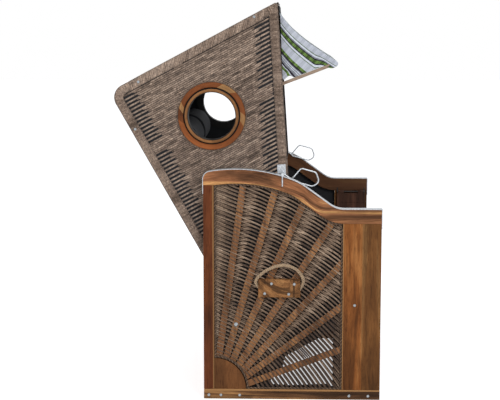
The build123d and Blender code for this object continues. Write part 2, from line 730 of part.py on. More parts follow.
def build_portholes():
    """The turned wooden ring on the outside and the lipped sleeve through the wall."""
    place = Pos(porthole_reach, 0, porthole_height) * Rot(-90, 0, 0)
    wall = hood_outside - hood_outer_recess
    inside = hood_inside - hood_lining_thickness - cloth_gap
    groove_outside = porthole_radius + porthole_lip + porthole_groove
    ring = Pos(0, 0, wall) * (
        Cylinder(porthole_ring_radius, hood_outside + porthole_ring_proud - wall,
                 align=(Align.CENTER, Align.CENTER, Align.MIN))
        - Cylinder(groove_outside, 2 * overrun))
    rim = ring.edges().filter_by(GeomType.CIRCLE).group_by(Axis.Z)[-1]
    ring = chamfer(rim, porthole_groove / 2)
    add_pair("porthole_ring", reclined(place * ring))
    sleeve_radius = porthole_radius + porthole_sleeve_wall
    lip = Pos(0, 0, wall) * Cylinder(porthole_radius + porthole_lip, hood_outside + porthole_lip_proud - wall,
                                     align=(Align.CENTER, Align.CENTER, Align.MIN))
    body = Pos(0, 0, inside) * Cylinder(sleeve_radius, wall - inside,
                                        align=(Align.CENTER, Align.CENTER, Align.MIN))
    flange = Pos(0, 0, inside - porthole_inner_proud) * Cylinder(
        sleeve_radius + porthole_inner_flange, porthole_inner_proud,
        align=(Align.CENTER, Align.CENTER, Align.MIN))
    sleeve = lip + body + flange - Cylinder(porthole_radius, 2 * basket_width)
    outer_rim = sleeve.edges().filter_by(GeomType.CIRCLE).group_by(Axis.Z)[-1]
    sleeve = chamfer(outer_rim, porthole_lip / 3)
    add("porthole_sleeves", Compound(both_sides([reclined(place * sleeve)])))


def build_hood_cushions():
    """The back cushions with sewn channels, and the neck rolls in front of them."""
    inner = hood_rear_offset + hood_skin_thickness
    low_y = cushion_middle_gap / 2
    high_y = seat_side - cushion_side_gap
    cushion = pillow(back_cushion_bottom, back_cushion_top, low_y, high_y, back_cushion_thickness)
    length = back_cushion_top - back_cushion_bottom
    for share in channel_shares:
        groove = Rot(90, 0, 0) * Cylinder(channel_radius, 2 * basket_width)
        cushion -= Pos(back_cushion_bottom + length * share, 0,
                       back_cushion_thickness + channel_radius / 2) * groove
    # The pillow lies flat with its length along X: stand it up against the hood's back.
    standing = Pos(inner + cloth_gap, 0, 0) * Rot(0, 0, 180) * Rot(0, -90, 0) * cushion
    add_pair("back_cushion", reclined(mirror(standing, about=Plane.XZ)))
    off_middle = roll_height - (back_cushion_bottom + back_cushion_top) / 2
    crown = crown_radius(length, back_cushion_thickness)
    fallen = crown - sqrt(crown ** 2 - off_middle ** 2)
    roll_reach = inner + 2 * cloth_gap + back_cushion_thickness - fallen + roll_radius
    middle_y = (low_y + high_y) / 2
    roll = rod_along_y((roll_reach, roll_height), 2 * roll_radius,
                       middle_y - roll_length / 2, middle_y + roll_length / 2)
    roll = chamfer(roll.edges().filter_by(GeomType.CIRCLE), roll_edge)
    add_pair("neck_roll", reclined(roll))


def build_latches():
    """The latch plates with their studs, and the wire bails that ride over the rail."""
    plate = Pos(plate_reach, plate_at_height) * Rot(0, 0, -plate_lean) * Rectangle(plate_width, plate_height)
    plate_outside = hood_outside + plate_thickness
    stud_end = half_width + bail_outside_gap + bail_wire + bail_gap
    latch = slab(plate, hood_outside, plate_outside)
    latch += rod_along_y(stem_root, stud_diameter, plate_outside, stud_end)
    latch += rod_along_y(stem_root, stud_head_diameter, stud_end, stud_end + stud_head_height)
    add("latch_plates", Compound(both_sides([reclined(latch)])))
    outer = half_width + bail_outside_gap + bail_wire / 2
    sleeve = rod_along_y(stem_root, sleeve_diameter, plate_outside + bail_gap, outer + bail_wire / 2)
    # The bail is drawn as it stands at rest, and turned back into the hood's own frame.
    loop = bail_loop()
    finger = Pos(0, outer, 0) * extrude(RegularPolygon(bail_wire / 2, wire_facets), amount=-bail_finger_length)
    finger = chamfer(finger.edges().group_by(Axis.Z)[0], bail_wire / 5)
    wire = Pos(stud_reach, 0, stud_height) * Rot(0, -hood_lean, 0) * (loop + finger)
    bore = rod_along_y(stem_root, stud_diameter + 2 * sleeve_bore_clearance, 0, half_width + overrun)
    add_pair("latch_bail", reclined(sleeve + wire - bore))


def bail_loop():
    """The hand loop of a bail with its stem, drawn about the stud, as it stands at rest."""
    corners = [
        (bail_length * along, bail_middle, bail_length * up)
        for along, up in zip(bail_forward_shares, bail_upward_shares)
    ]
    path = FilletPolyline(*corners, close=True, radius=[bail_length * share for share in bail_corner_shares])
    section = RegularPolygon(bail_wire / 2, wire_facets)
    ring = sweep(Plane(path @ 0, z_dir=path % 0) * section, path=path)
    stem_end = path.closest_points(Vertex(*corners[0]))[0]
    stem_line = Line((0, bail_middle, 0), stem_end)
    stem = sweep(Plane(stem_line @ 0, z_dir=stem_line % 0) * section, path=stem_line)
    return ring + stem


def build_awning():
    """The bow with its pins, and the cloth from the roof's front edge over the bar and down the sides."""
    bow_pivot = (bow_pivot_reach, bow_pivot_height)
    bar = on_circle(bow_pivot, bow_length, bow_lean)
    slat_outside = hood_inside - bow_side_gap
    slat_inside = slat_outside - bow_slat_thickness
    slat = Pos(*bow_pivot) * Rot(0, 0, 90 - bow_lean) * SlotCenterPoint(
        (bow_length / 2, 0), (bow_length, 0), bow_slat_height)
    left = slab(slat, slat_inside, slat_outside)
    left -= rod_along_y(bow_pivot, bow_pin_diameter + 2 * bow_pin_clearance, 0, half_width)
    bow = left + mirror(left, about=Plane.XZ) + rod_along_y(bar, bow_bar_diameter, -slat_outside, slat_outside)
    add("awning_bow", reclined(bow))
    lean = brow_lean()
    over_bar = bow_bar_diameter / 2 + cloth_gap
    flap_top = (hood_front_reach + awning_gap, hood_front_height - awning_top_drop)
    brow = on_circle(flap_top, awning_flap, lean + 180)
    tip = on_circle(bar, over_bar, awning_wrap_lean)
    middle = ((brow[0] + tip[0]) / 2, (brow[1] + tip[1]) / 2)
    slope = degrees(atan2(tip[0] - brow[0], tip[1] - brow[1]))
    sagging = on_circle(middle, awning_sag, slope + 90)
    upper = ThreePointArc(brow, sagging, tip)
    round_bar = arc_of(bar, over_bar, awning_wrap_lean, 90)
    round_outside = arc_of(bar, over_bar + awning_thickness, 90, awning_wrap_lean)
    raised_brow = on_circle(brow, awning_thickness, slope - 90)
    raised_sag = on_circle(sagging, awning_thickness, slope - 90)
    hem_foot = ((round_bar @ 1).X, bar[1] - awning_hem)
    outer_foot = (hem_foot[0] + awning_thickness, hem_foot[1])
    sheet = make_face([
        upper,
        round_bar,
        Polyline(round_bar @ 1, hem_foot, outer_foot, round_outside @ 0),
        round_outside,
        ThreePointArc(round_outside @ 1, raised_sag, raised_brow),
        Line(raised_brow, brow),
    ])
    sheet += make_face(Polyline(flap_top, brow, on_circle(brow, awning_thickness, lean + 90),
                                on_circle(flap_top, awning_thickness, lean + 90), close=True))
    over_slat = on_circle(bar, bow_slat_height / 2 + cloth_gap, bow_lean - 90)
    back_off = awning_gap / cos(radians(lean))
    foot_height = bow_pivot_height + bow_slat_height
    foot_reach = latch_corner_reach + (foot_height - latch_corner_height) * tan(radians(lean)) + back_off
    gusset = make_face([upper, Polyline(tip, over_slat, (foot_reach, foot_height), brow)])
    side_inside = slat_outside + awning_gap
    side_outside = side_inside + awning_side_thickness
    cloth = slab(sheet, -side_outside, side_outside)
    for low_y, high_y in ((side_inside, side_outside), (-side_outside, -side_inside)):
        cloth += slab(gusset, low_y, high_y)
    add("awning_cloth", reclined(cloth))


def build_hood_screws():
    """The screw heads on the outside of the hood's borders, and the screws that the bow swings on."""
    bow_pivot = (bow_pivot_reach, bow_pivot_height)
    head_outside = hood_inside - bow_side_gap - bow_slat_thickness - running_gap
    pin = rod_along_y(bow_pivot, bow_pin_diameter, head_outside, hood_inside + bow_pin_depth)
    pin += rod_along_y(bow_pivot, bow_pin_head, head_outside - bow_pin_head_height, head_outside)
    left = [pin]
    width = hood_front_reach - hood_rear_offset
    places = [(hood_rear_offset + rear_screw_inset, hood_rear_height * rear_screw_share)]
    for share, drop in zip(roof_screw_shares, roof_screw_drops):
        reach = hood_rear_offset + width * share
        places.append((reach, roof_underside(reach) + hood_skin_thickness - drop))
    for reach, height in places:
        left.append(domed_bolt(reach, height, hood_outside))
    add("hood_screws", Compound(both_sides([reclined(screw) for screw in left])))


def write_all():
    """Moves everything to the shared origin, writes each node and prints where the joints lie."""
    os.makedirs("parts", exist_ok=True)
    low_x = min(shape.bounding_box().min.X for shape in nodes.values())
    high_x = max(shape.bounding_box().max.X for shape in nodes.values())
    shift = -(low_x + high_x) / 2
    for name, shape in nodes.items():
        export_step(Pos(shift, 0, 0) * shape, f"parts/{name}.step")
    print("nodes", len(nodes), "x shift", round(shift, 3))
    marks = {"stud": stem_root, "bow pivot": (bow_pivot_reach, bow_pivot_height),
             "porthole": (porthole_reach, porthole_height)}
    print("hood pivot", round(pivot_x + shift, 3), pivot_height)
    for name, (reach, height) in marks.items():
        place = reclined(Pos(reach, 0, height) * Vertex(0, 0, 0)).center()
        print(name, round(place.X + shift, 3), round(place.Z, 3))


def main():
    """Builds every group of pieces and writes them."""
    build_side_frame()
    build_infill()
    build_pivots()
    build_handle()
    build_frame_bolts()
    build_seat()
    build_footrests()
    build_side_tables()
    build_hood()
    build_portholes()
    build_hood_cushions()
    build_latches()
    build_awning()
    build_hood_screws()
    write_all()


main()
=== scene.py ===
from math import atan2, ceil, cos, hypot, pi, radians, sin, sqrt, tan

import bmesh
import bpy
import numpy as np
from mathutils import Matrix, Vector
from mathutils.bvhtree import BVHTree


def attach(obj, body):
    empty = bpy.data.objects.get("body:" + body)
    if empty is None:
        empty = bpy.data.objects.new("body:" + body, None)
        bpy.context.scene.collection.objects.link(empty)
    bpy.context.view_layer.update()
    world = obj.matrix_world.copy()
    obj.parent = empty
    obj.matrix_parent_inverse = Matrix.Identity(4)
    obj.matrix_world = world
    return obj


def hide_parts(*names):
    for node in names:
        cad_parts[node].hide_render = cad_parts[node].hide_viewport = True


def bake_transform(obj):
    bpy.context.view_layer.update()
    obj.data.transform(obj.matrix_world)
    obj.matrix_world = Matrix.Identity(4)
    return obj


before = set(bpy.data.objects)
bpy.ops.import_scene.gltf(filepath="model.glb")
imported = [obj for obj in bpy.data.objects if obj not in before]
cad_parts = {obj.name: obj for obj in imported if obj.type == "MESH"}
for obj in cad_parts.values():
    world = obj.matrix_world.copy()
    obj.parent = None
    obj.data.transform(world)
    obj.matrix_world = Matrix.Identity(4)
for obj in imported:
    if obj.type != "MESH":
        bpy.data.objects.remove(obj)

bl_info = {
    "name": "Hooded beach chair",
    "version": (1, 0, 0),
    "blender": (4, 5, 0),
    "location": "View3D > Sidebar > Beach chair",
    "description": "Weaves, upholsters and finishes a two-seat hooded beach chair around its packed model",
    "category": "Add Mesh",
}

SIDES = (("left", 1), ("right", -1))

# The photograph's view: the camera's place, its lean and turn in degrees, and its lens and film in millimetres
CAMERA_PLACE, CAMERA_LEAN, CAMERA_TURN = (0.1803, -6.185, 1.6815), 7.94, 1.76
CAMERA_LENS, CAMERA_FILM = 92.9, 36
LAMPS = (("key_lamp", (2.4, -4.2, 4.2), 95.0, 2.2), ("fill_lamp", (-3.4, -3.6, 2.6), 38.0, 2.6),
         ("rear_lamp", (-1.0, 4.2, 3.6), 40.0, 2.6))
LAMP_AIM = Vector((0, 0, 0.8))

# Places in the chair's own frame, in metres, with X towards the front and Z up
REAR_X = -0.198191
SUN_X, SUN_Z = REAR_X + 0.047, 0.045
FRONT_STILE_X = REAR_X + 0.616
FRONT_SEAM_X = FRONT_STILE_X + 0.0845
PIVOT_X, PIVOT_Z = REAR_X + 0.144, 0.340
RAIL_INNER_Y = 0.5425

# The top rail's inner edge: an arc round the pivot, a shoulder, a straight slope and a hollow in front
RAIL_INNER_RADIUS = 0.632
SHOULDER_RADIUS, SHOULDER_LEAN = 0.394, 20
SLOPE_RADIUS, SLOPE_LEAN = 0.238, 36
HOLLOW_START, HOLLOW_MIDDLE = 0.5204, 0.6215
HOLLOW_RADIUS, HOLLOW_Z = 0.172, 0.968

# The sun: where its rays cross the disc's rim and how they lean, in degrees forward from upright
RAY_RIM_LEANS = (7.9, 20.9, 33.7, 47.1, 59.2, 70.6, 82.7)
RAY_LEANS = (8.0, 16.05, 23.7, 32.5, 41.8, 52.8, 69.0)
DISC_RADIUS = 0.145
RAY_START = 0.132
RAY_HALF = 0.0145

# The ropes: the loop's line, the spacing of its points and the pitch of its twist; a strand's radius as a share
# of the rope's diameter, and its distance from the rope's middle in strand radii
ROPE_Y = 0.591
ROPE_ROUTE = ((0.255, 0.505), (0.226, 0.527), (0.241, 0.558), (0.282, 0.592), (0.347, 0.615),
              (0.405, 0.600), (0.437, 0.566), (0.446, 0.530), (0.423, 0.500))
ROPE_STEP, ROPE_TWIST = 0.0035, 0.034
ROPE_STRAND, ROPE_ORBIT = 0.262, 1.24

# The side weave: reach of its first strand from the sun and of the whole fan, and the leans of its points; where
# its strands show, in shares of the way from ray to ray, by the width of a sector, and closed along the edges of
# the opening; the first sector that is open, and the strands that lie closed in it
FIRST_STRAND, FAN_REACH = 0.152, 1.12
FAN_LEANS = np.arange(-4.0, 96.0, 0.75)
SHOWN_FROM, SHOWN_UNTIL = (0.04, 0.16), (0.46, 0.66)
SHOWN_WIDTH, CLOSED_EDGE = (0.030, 0.075), (0.018, 0.032)
OPEN_SECTOR = 5
CLOSED_RUN = range(29, 33)
SIDE_HIDDEN_Y, SIDE_STRAND_Y, SIDE_BRAID_Y = 0.5675, 0.5735, 0.5800
BRAID_WIDTH, BRAID_PITCH, BRAID_TONES = 0.009, 0.016, (0.30, 0.06)
LINING_STOP_X, LINING_FLOOR = REAR_X + 0.300, 0.062

# Places in the hood's upright frame, measured from its pivot: reach forward and height
HOOD_LEAN = -29.4
HOOD_REAR = 0.019
HOOD_REAR_TOP = (0.019, 1.169)
HOOD_BROW = (0.852, 1.149)
LATCH_CORNER = (0.520, 0.458)
LOWER_TOUCH = (0.03187, -0.03177)
HOOD_CORNER_RADIUS = 0.058
HOOD_BORDER = 0.038
HOOD_STRAND_Y = 0.5256
HOOD_INNER_Y = 0.4955
BORDER_BRIDGE = 0.356
PORTHOLE = (0.360, 0.858)
LIP_RADIUS, LIP_Y = 0.1130, 0.5395
PORTHOLE_CLEAR, PORTHOLE_BRAID = 0.143, 0.1516
SHELL_INSET = 0.0100

# Slots beside the hood's borders: their heights, and the distances over which the weave closes again
REAR_SLOTS, REAR_SLOT_END = ((0.885, 1.117), (0.397, 0.830)), (0.030, 0.086)
FRONT_SLOTS, FRONT_SLOT_END = ((0.851, 1.104), (0.491, 0.803)), (0.024, 0.094)

# Slants of the hood's front, roof and lower edge
BROW_SLOPE = (HOOD_BROW[0] - LATCH_CORNER[0]) / (HOOD_BROW[1] - LATCH_CORNER[1])
ROOF_FALL = (HOOD_REAR_TOP[1] - HOOD_BROW[1]) / (HOOD_BROW[0] - HOOD_REAR_TOP[0])
LOWER_RISE = (LATCH_CORNER[1] - LOWER_TOUCH[1]) / (LATCH_CORNER[0] - LOWER_TOUCH[0])

HOOD_PLACE = Matrix.Translation((PIVOT_X, 0, PIVOT_Z)) @ Matrix.Rotation(radians(HOOD_LEAN), 4, "Y")
PORTHOLE_X, PORTHOLE_Z = -0.161749, 1.264227

# The awning in the hood's frame: its slope from the brow round the bow's bar, and the side pieces' lower edge
AWNING_TOP = ((0.8500, 1.1440), (0.8512, 1.1330), (0.8425, 1.1150), (0.8375, 1.0950), (0.8440, 1.0530),
              (0.8580, 1.0010), (0.8890, 0.9220), (0.9340, 0.8300), (0.9500, 0.8020), (0.9556, 0.7915),
              (0.9520, 0.7825), (0.9450, 0.7785))
AWNING_BROW = (0.8375, 1.0950)
AWNING_FOOT = ((0.7090, 0.8460), (0.7130, 0.8400), (0.7280, 0.8430), (0.7420, 0.8442), (0.7520, 0.8345),
               (0.7600, 0.8268), (0.8005, 0.8210), (0.8600, 0.8122), (0.8900, 0.8078), (0.9020, 0.7990),
               (0.9150, 0.7845), (0.9300, 0.7780), (0.9450, 0.7785))
AWNING_SIDE = 0.4982
AWNING_SLOPE = (0.742, 0.670)

# The section of the strands round the hood's border: distance inward from the outline, and Y
WRAP_SECTION = ((0.0395, 0.5245), (0.0380, 0.5272), (0.030, 0.5282), (0.020, 0.5284), (0.010, 0.5284),
                (0.002, 0.5278), (-0.0010, 0.5250), (-0.0011, 0.512), (-0.0008, 0.4985), (0.0015, 0.4975))

# Filling a cushion: the share of its size at which it starts, its grid, the pressure and the frames
STUFFING, FILL_VOXEL, FILL_PRESSURE, FILL_STEPS = 0.985, 0.009, 4.0, 20

# Cushions: their place to the side, the piping and its heights in shares of the thickness, the sewn channels
CUSHION_Y = 0.2405
ROLL_LENGTH, ROLL_RADIUS = 0.440, 0.0880
PIPING_RADIUS, PIPING_LEVELS = 0.0034, (0.12, 0.76)
CHANNEL_DEPTH, CHANNEL_HALF = 0.011, 0.007

# Linings: distance from the middle of the chair, height of the basket's foot, and the limits of its cut edge
LINING_Y, LINING_FOOT, LINING_CUT = 0.5618, 0.0460, (0.10, 0.43)
HOOD_LINING_Y, ROOF_LINING_HALF = 0.4932, 0.4830


# --- Properties ---

def length_property(name, description, default):
    return bpy.props.FloatProperty(name=name, description=description, default=default, min=0.0, max=2.0,
                                   unit="LENGTH", precision=4)


def colour_property(name, description, default):
    return bpy.props.FloatVectorProperty(name=name, description=description, default=default, min=0.0,
                                         max=1.0, subtype="COLOR", size=3)


class ChairSizes(bpy.types.PropertyGroup):
    """Sizes of the woven, sewn and twisted pieces"""
    side_pitch: length_property("Side weave pitch", "Spacing of the strands of a side panel", 0.0079)
    side_width: length_property("Side strand width", "Width of a side panel's strand", 0.0074)
    hood_pitch: length_property("Hood weave pitch", "Spacing of the strands of the hood", 0.0085)
    hood_width: length_property("Hood strand width", "Width of a strand of the hood", 0.0076)
    strand_thickness: length_property("Strand thickness", "Thickness of a flat strand", 0.0024)
    stake_pitch: length_property("Stake pitch", "Spacing of the hood's hidden stakes", 0.056)
    wrap_pitch: length_property("Wrap pitch", "Spacing of the strands wrapped round a border", 0.0052)
    rope_diameter: length_property("Rope diameter", "Thickness of the carrying ropes", 0.013)
    edge_wear: length_property("Edge rounding", "Softening of the boards' edges", 0.0022)


class ChairColours(bpy.types.PropertyGroup):
    """Colours of the woods, strands, cloths and metal"""
    cane: colour_property("Cane", "Mid tone of the hood's strands", (0.285, 0.213, 0.168))
    cane_light: colour_property("Pale cane", "Light tone of the strands", (0.480, 0.375, 0.300))
    cane_dark: colour_property("Dark cane", "Dark tone of the strands", (0.110, 0.078, 0.058))
    side_mid: colour_property("Side cane", "Mid tone of the side panels' strands", (0.250, 0.172, 0.118))
    side_light: colour_property("Pale side cane", "Light tone of those strands", (0.520, 0.390, 0.285))
    side_dark: colour_property("Dark side cane", "Dark tone of those strands", (0.060, 0.036, 0.024))
    stile: colour_property("Front stile wood", "Brown wood of the front stiles", (0.200, 0.077, 0.022))
    rear_stile: colour_property("Rear stile wood", "Red-brown wood of the rear stiles", (0.140, 0.039, 0.012))
    sill: colour_property("Skid wood", "Dark brown wood of the skids", (0.125, 0.058, 0.024))
    rail: colour_property("Rail wood", "Warm brown wood of the rails and boards", (0.225, 0.094, 0.040))
    ray: colour_property("Ray wood", "Brown wood of the sun's rays", (0.255, 0.118, 0.052))
    disc: colour_property("Disc wood", "Brown wood of the sun disc", (0.200, 0.080, 0.026))
    ring: colour_property("Ring wood", "Red-brown staves of the porthole rings", (0.290, 0.086, 0.022))
    bow: colour_property("Bow wood", "Greyed wood of the awning's bow", (0.340, 0.250, 0.185))
    block: colour_property("Block wood", "Lighter wood of the carrying handles", (0.275, 0.124, 0.044))
    sapwood: colour_property("Sapwood", "Golden edges and streaks of the boards", (0.44, 0.225, 0.085))
    # The inner wood's dark colour is painted shade: the side tables hang on the basket's shaded inner face
    inner: colour_property("Inner wood", "Dark wood inside the basket", (0.095, 0.041, 0.024))
    lining: colour_property("Lining cloth", "Dark cloth behind the weave", (0.027, 0.027, 0.029))
    cloth: colour_property("Awning ground", "Pale ground of the checked cloth", (0.60, 0.63, 0.69))
    green: colour_property("Awning green", "Green bands of the checked cloth", (0.150, 0.245, 0.060))
    stripe: colour_property("Awning dark", "Dark bands of the checked cloth", (0.035, 0.030, 0.042))
    anthracite: colour_property("Anthracite", "Plain cloth of the cushions' sides and the awning's flap",
                                (0.019, 0.019, 0.021))
    piping: colour_property("Piping", "Cord sewn into the cushions' seams", (0.035, 0.036, 0.039))
    charcoal: colour_property("Charcoal", "Plain cloth of the neck rolls", (0.056, 0.057, 0.061))
    rope: colour_property("Rope", "Natural fibre of the ropes", (0.46, 0.325, 0.195))


def sizes():
    return bpy.context.scene.beach_chair_sizes


def colours():
    return bpy.context.scene.beach_chair_colours


# --- Materials ---

WHITE = (1.0, 1.0, 1.0)


class Nodes:
    """A node tree under construction: short calls that add a node and link it"""

    def __init__(self, tree):
        self.tree = tree

    def node(self, kind, **settings):
        made = self.tree.nodes.new(kind)
        for key, value in settings.items():
            setattr(made, key, value)
        return made

    def put(self, socket, value):
        """Links a socket, or sets its constant"""
        if isinstance(value, bpy.types.NodeSocket):
            self.tree.links.new(value, socket)
        elif socket.type == "RGBA":
            socket.default_value = (*value, 1)
        else:
            socket.default_value = value

    def fill(self, made, values):
        for key, value in values.items():
            self.put(made.inputs[key], value)
        return made

    def maths(self, operation, first, second=0.0):
        return self.fill(self.node("ShaderNodeMath", operation=operation), {0: first, 1: second}).outputs[0]

    def add(self, first, second):
        return self.maths("ADD", first, second)

    def less(self, first, second):
        return self.maths("SUBTRACT", first, second)

    def times(self, first, second):
        return self.maths("MULTIPLY", first, second)

    def seen_directly(self):
        """One for rays from the camera, or by way of a mirror or glass"""
        path = self.node("ShaderNodeLightPath").outputs
        bent = self.maths("MAXIMUM", path["Is Glossy Ray"], path["Is Transmission Ray"])
        return self.maths("MAXIMUM", path["Is Camera Ray"], bent)

    def choose(self, factor, first, second, output):
        """Sends one of two shaders to the output node"""
        made = self.fill(self.node("ShaderNodeMixShader"), {0: factor, 1: first, 2: second})
        self.put(self.tree.nodes[output].inputs["Surface"], made.outputs[0])


class Recipe(Nodes):
    """A node material under construction"""

    def __init__(self, name):
        self.material = bpy.data.materials.new(name)
        self.material.use_nodes = True
        super().__init__(self.material.node_tree)
        self.shader = self.tree.nodes["Principled BSDF"]

    def coordinates(self, scale=(1, 1, 1), shift=(0, 0, 0)):
        """The piece's own coordinates, stretched and shifted"""
        source = self.node("ShaderNodeTexCoord").outputs["Object"]
        made = self.fill(self.node("ShaderNodeMapping"), {"Vector": source, "Location": shift, "Scale": scale})
        return made.outputs["Vector"]

    def parts(self, vector):
        """The three parts of a vector, by axis letter"""
        return self.fill(self.node("ShaderNodeSeparateXYZ"), {0: vector}).outputs

    def joined(self, x, y, z=0.0):
        return self.fill(self.node("ShaderNodeCombineXYZ"), {"X": x, "Y": y, "Z": z}).outputs[0]

    def reach(self, parts):
        """Distance from the middle in the side view"""
        return self.maths("SQRT", self.add(*(self.maths("POWER", parts[axis], 2.0) for axis in "XZ")))

    def noise(self, vector, scale, detail=3.0, roughness=0.5, distortion=0.0):
        made = self.fill(self.node("ShaderNodeTexNoise"), {"Vector": vector, "Scale": scale, "Detail": detail,
                                                           "Roughness": roughness, "Distortion": distortion})
        return made.outputs["Fac"]

    def plain_noise(self, *settings):
        return self.noise(self.coordinates(), *settings)

    def ramp(self, value, stops, interpolation="LINEAR"):
        """A colour ramp; a stop's tone is a colour, or one number for a grey"""
        made = self.node("ShaderNodeValToRGB")
        self.put(made.inputs["Fac"], value)
        band = made.color_ramp
        band.interpolation = interpolation
        while len(band.elements) < len(stops):
            band.elements.new(1.0)
        for element, (place, tone) in zip(band.elements, stops):
            element.position = place
            element.color = (*(tone if hasattr(tone, "__len__") else (tone,) * 3), 1)
        return made.outputs["Color"]

    def grey_ramp(self, value, low, high, dark=0.0, light=1.0):
        return self.ramp(value, [(low, dark), (high, light)])

    def mix(self, first, second, factor, mode="MIX"):
        made = self.node("ShaderNodeMix", data_type="RGBA", blend_type=mode)
        return self.fill(made, {0: factor, 6: first, 7: second}).outputs[2]

    def multiply(self, first, second, factor=1.0):
        return self.mix(first, second, factor, "MULTIPLY")

    def attribute(self, name):
        return self.node("ShaderNodeAttribute", attribute_name=name, attribute_type="GEOMETRY").outputs["Fac"]

    def bump(self, height, strength, distance):
        made = self.fill(self.node("ShaderNodeBump"), {"Height": height, "Strength": strength,
                                                       "Distance": distance})
        self.put(self.shader.inputs["Normal"], made.outputs["Normal"])

    def finish(self, colour, roughness, **constants):
        self.fill(self.shader, {"Base Color": colour, "Roughness": roughness})
        self.fill(self.shader, {name.replace("_", " "): value for name, value in constants.items()})
        return self.material


def shade(colour, factor):
    return tuple(min(1.0, channel * factor) for channel in colour)


def blend_tones(first, second, share):
    return tuple(a + (b - a) * share for a, b in zip(first, second))


def timber_tone(recipe, grain, plain, colour, contrast, figure, gold=0.0):
    """Heartwood with broad figure, fine streaks and open pores; returns its tone, streaks and pores"""
    sapwood = blend_tones(shade(colour, 1.2), tuple(colours().sapwood), gold)
    broad = recipe.noise(grain, figure, 3.0, 0.55, 1.2)
    streaks = recipe.noise(grain, 42.0, 6.0, 0.64, 0.9)
    pores = recipe.noise(grain, 260.0, 3.0, 0.7)
    clouds = recipe.noise(plain, 5.0, 3.0, 0.55)
    base = recipe.ramp(broad, [(0.39, shade(colour, 1 - 0.60 * contrast)), (0.46, colour),
                               (0.53, shade(colour, 1.10)), (0.58, sapwood)])
    lines = recipe.ramp(streaks, [(0.36, 1 - 0.60 * contrast), (0.47, (0.95, 0.94, 0.93)),
                                  (0.56, (1.10, 1.11, 1.12)), (0.66, 1 + 0.45 * contrast)])
    tone = recipe.multiply(base, lines, 0.85)
    tone = recipe.multiply(tone, (0.45, 0.40, 0.38), recipe.grey_ramp(pores, 0.52, 0.66, 0.0, 0.75))
    drift = recipe.ramp(clouds, [(0.4, (0.76, 0.72, 0.70)), (0.6, (1.10, 1.10, 1.08))])
    return recipe.multiply(tone, drift, 0.7), streaks, pores


def oiled(recipe, tone, streaks, pores, smooth, rough, shine=0.15):
    """Closes a wood with its open grain, duller in the pores"""
    recipe.bump(recipe.mix(streaks, pores, 0.5), 0.35, 0.0012)
    return recipe.finish(tone, recipe.grey_ramp(pores, 0.3, 0.8, smooth, rough), Specular_IOR_Level=shine)


def wood_material(name, colour, along, seed, contrast=1.0, figure=7.0, sapwood=None, gold=0.0, boards=None):
    """Hardwood with its grain along one axis; sapwood is an axis letter, a place, which side of it and how
    pale, and boards the X of a seam with the tones behind and before it"""
    recipe = Recipe(name)
    stretch = {"x": (0.08, 1.0, 1.0), "y": (1.0, 0.08, 1.0), "z": (1.0, 1.0, 0.08)}[along]
    grain = recipe.coordinates(scale=stretch, shift=(seed * 1.7, seed * 0.9, seed * 2.3))
    plain = recipe.coordinates(shift=(seed, 0, 0))
    parts = recipe.parts(recipe.coordinates())
    tone, streaks, pores = timber_tone(recipe, grain, plain, colour, contrast, figure, gold)
    if boards:
        seam, behind, before = boards
        tone = recipe.multiply(tone, recipe.mix(behind, before, recipe.maths("GREATER_THAN", parts["X"], seam)))
    if sapwood:
        axis, place, sense, pallor = sapwood
        beyond = recipe.times(recipe.less(parts[axis], place), sense)
        wander = recipe.times(recipe.less(recipe.noise(grain, 9.0), 0.5), 0.010)
        inside = recipe.maths("GREATER_THAN", recipe.add(beyond, wander), 0.0)
        pale = recipe.mix(*(shade(colours().sapwood, factor * pallor) for factor in (0.8, 1.2)), streaks)
        tone = recipe.mix(tone, pale, recipe.times(inside, 0.9))
    return oiled(recipe, tone, streaks, pores, 0.50, 0.72)


def round_wood_material(name, colour, centre, bend, contrast=1.0, figure=7.0, slot_shade_x=None, gold=0.0, fade=None):
    """The same wood with its grain round a centre in the side view; slot_shade_x is the X of a slot's dark line
    of painted shade, fade the tones at distances before the centre, for a rail that turns level in front and has
    painted shade on its inner face"""
    recipe = Recipe(name)
    centred = recipe.coordinates(shift=(-centre[0], 0, -centre[1]))
    parts = recipe.parts(centred)
    across = recipe.reach(parts)
    ahead = recipe.add(parts["X"], 0.2)
    if fade:
        level = recipe.less(recipe.add(parts["Z"], 0.13), across)
        across = recipe.add(across, recipe.times(recipe.grey_ramp(ahead, 0.50, 0.62), level))
    turn = recipe.times(recipe.maths("ARCTAN2", parts["X"], parts["Z"]), bend)
    grain = recipe.joined(across, parts["Y"], turn)
    tone, streaks, pores = timber_tone(recipe, grain, centred, colour, contrast, figure, gold)
    # Painted shade: a dark line where the block's slot lies
    if slot_shade_x:
        off = recipe.maths("ABSOLUTE", recipe.less(parts["X"], slot_shade_x - centre[0]))
        wander = recipe.times(recipe.noise(centred, 60.0), 0.004)
        dark = recipe.maths("LESS_THAN", recipe.add(off, wander), 0.0062)
        tone = recipe.mix(tone, shade(colour, 0.22), recipe.times(dark, 0.85))
    if fade:
        tone = recipe.multiply(tone, recipe.ramp(ahead, [(place + 0.2, factor) for place, factor in fade]))
        # Painted shade: the rail's inner face, which faces into the chair, is darkened
        inner = recipe.maths("LESS_THAN", recipe.maths("ABSOLUTE", parts["Y"]), RAIL_INNER_Y)
        tone = recipe.mix(tone, shade(colour, 0.38), recipe.times(inner, 0.88))
    return oiled(recipe, tone, streaks, pores, 0.48, 0.70)


# The porthole's staves: the angle at which each starts, and its tone, or -1 for sapwood
RING_PARTS = ((-180, 0.52), (-170, 1.0), (-14, -1), (5, 0.95), (48, -1), (75, 0.72), (160, -1), (171, 0.52))


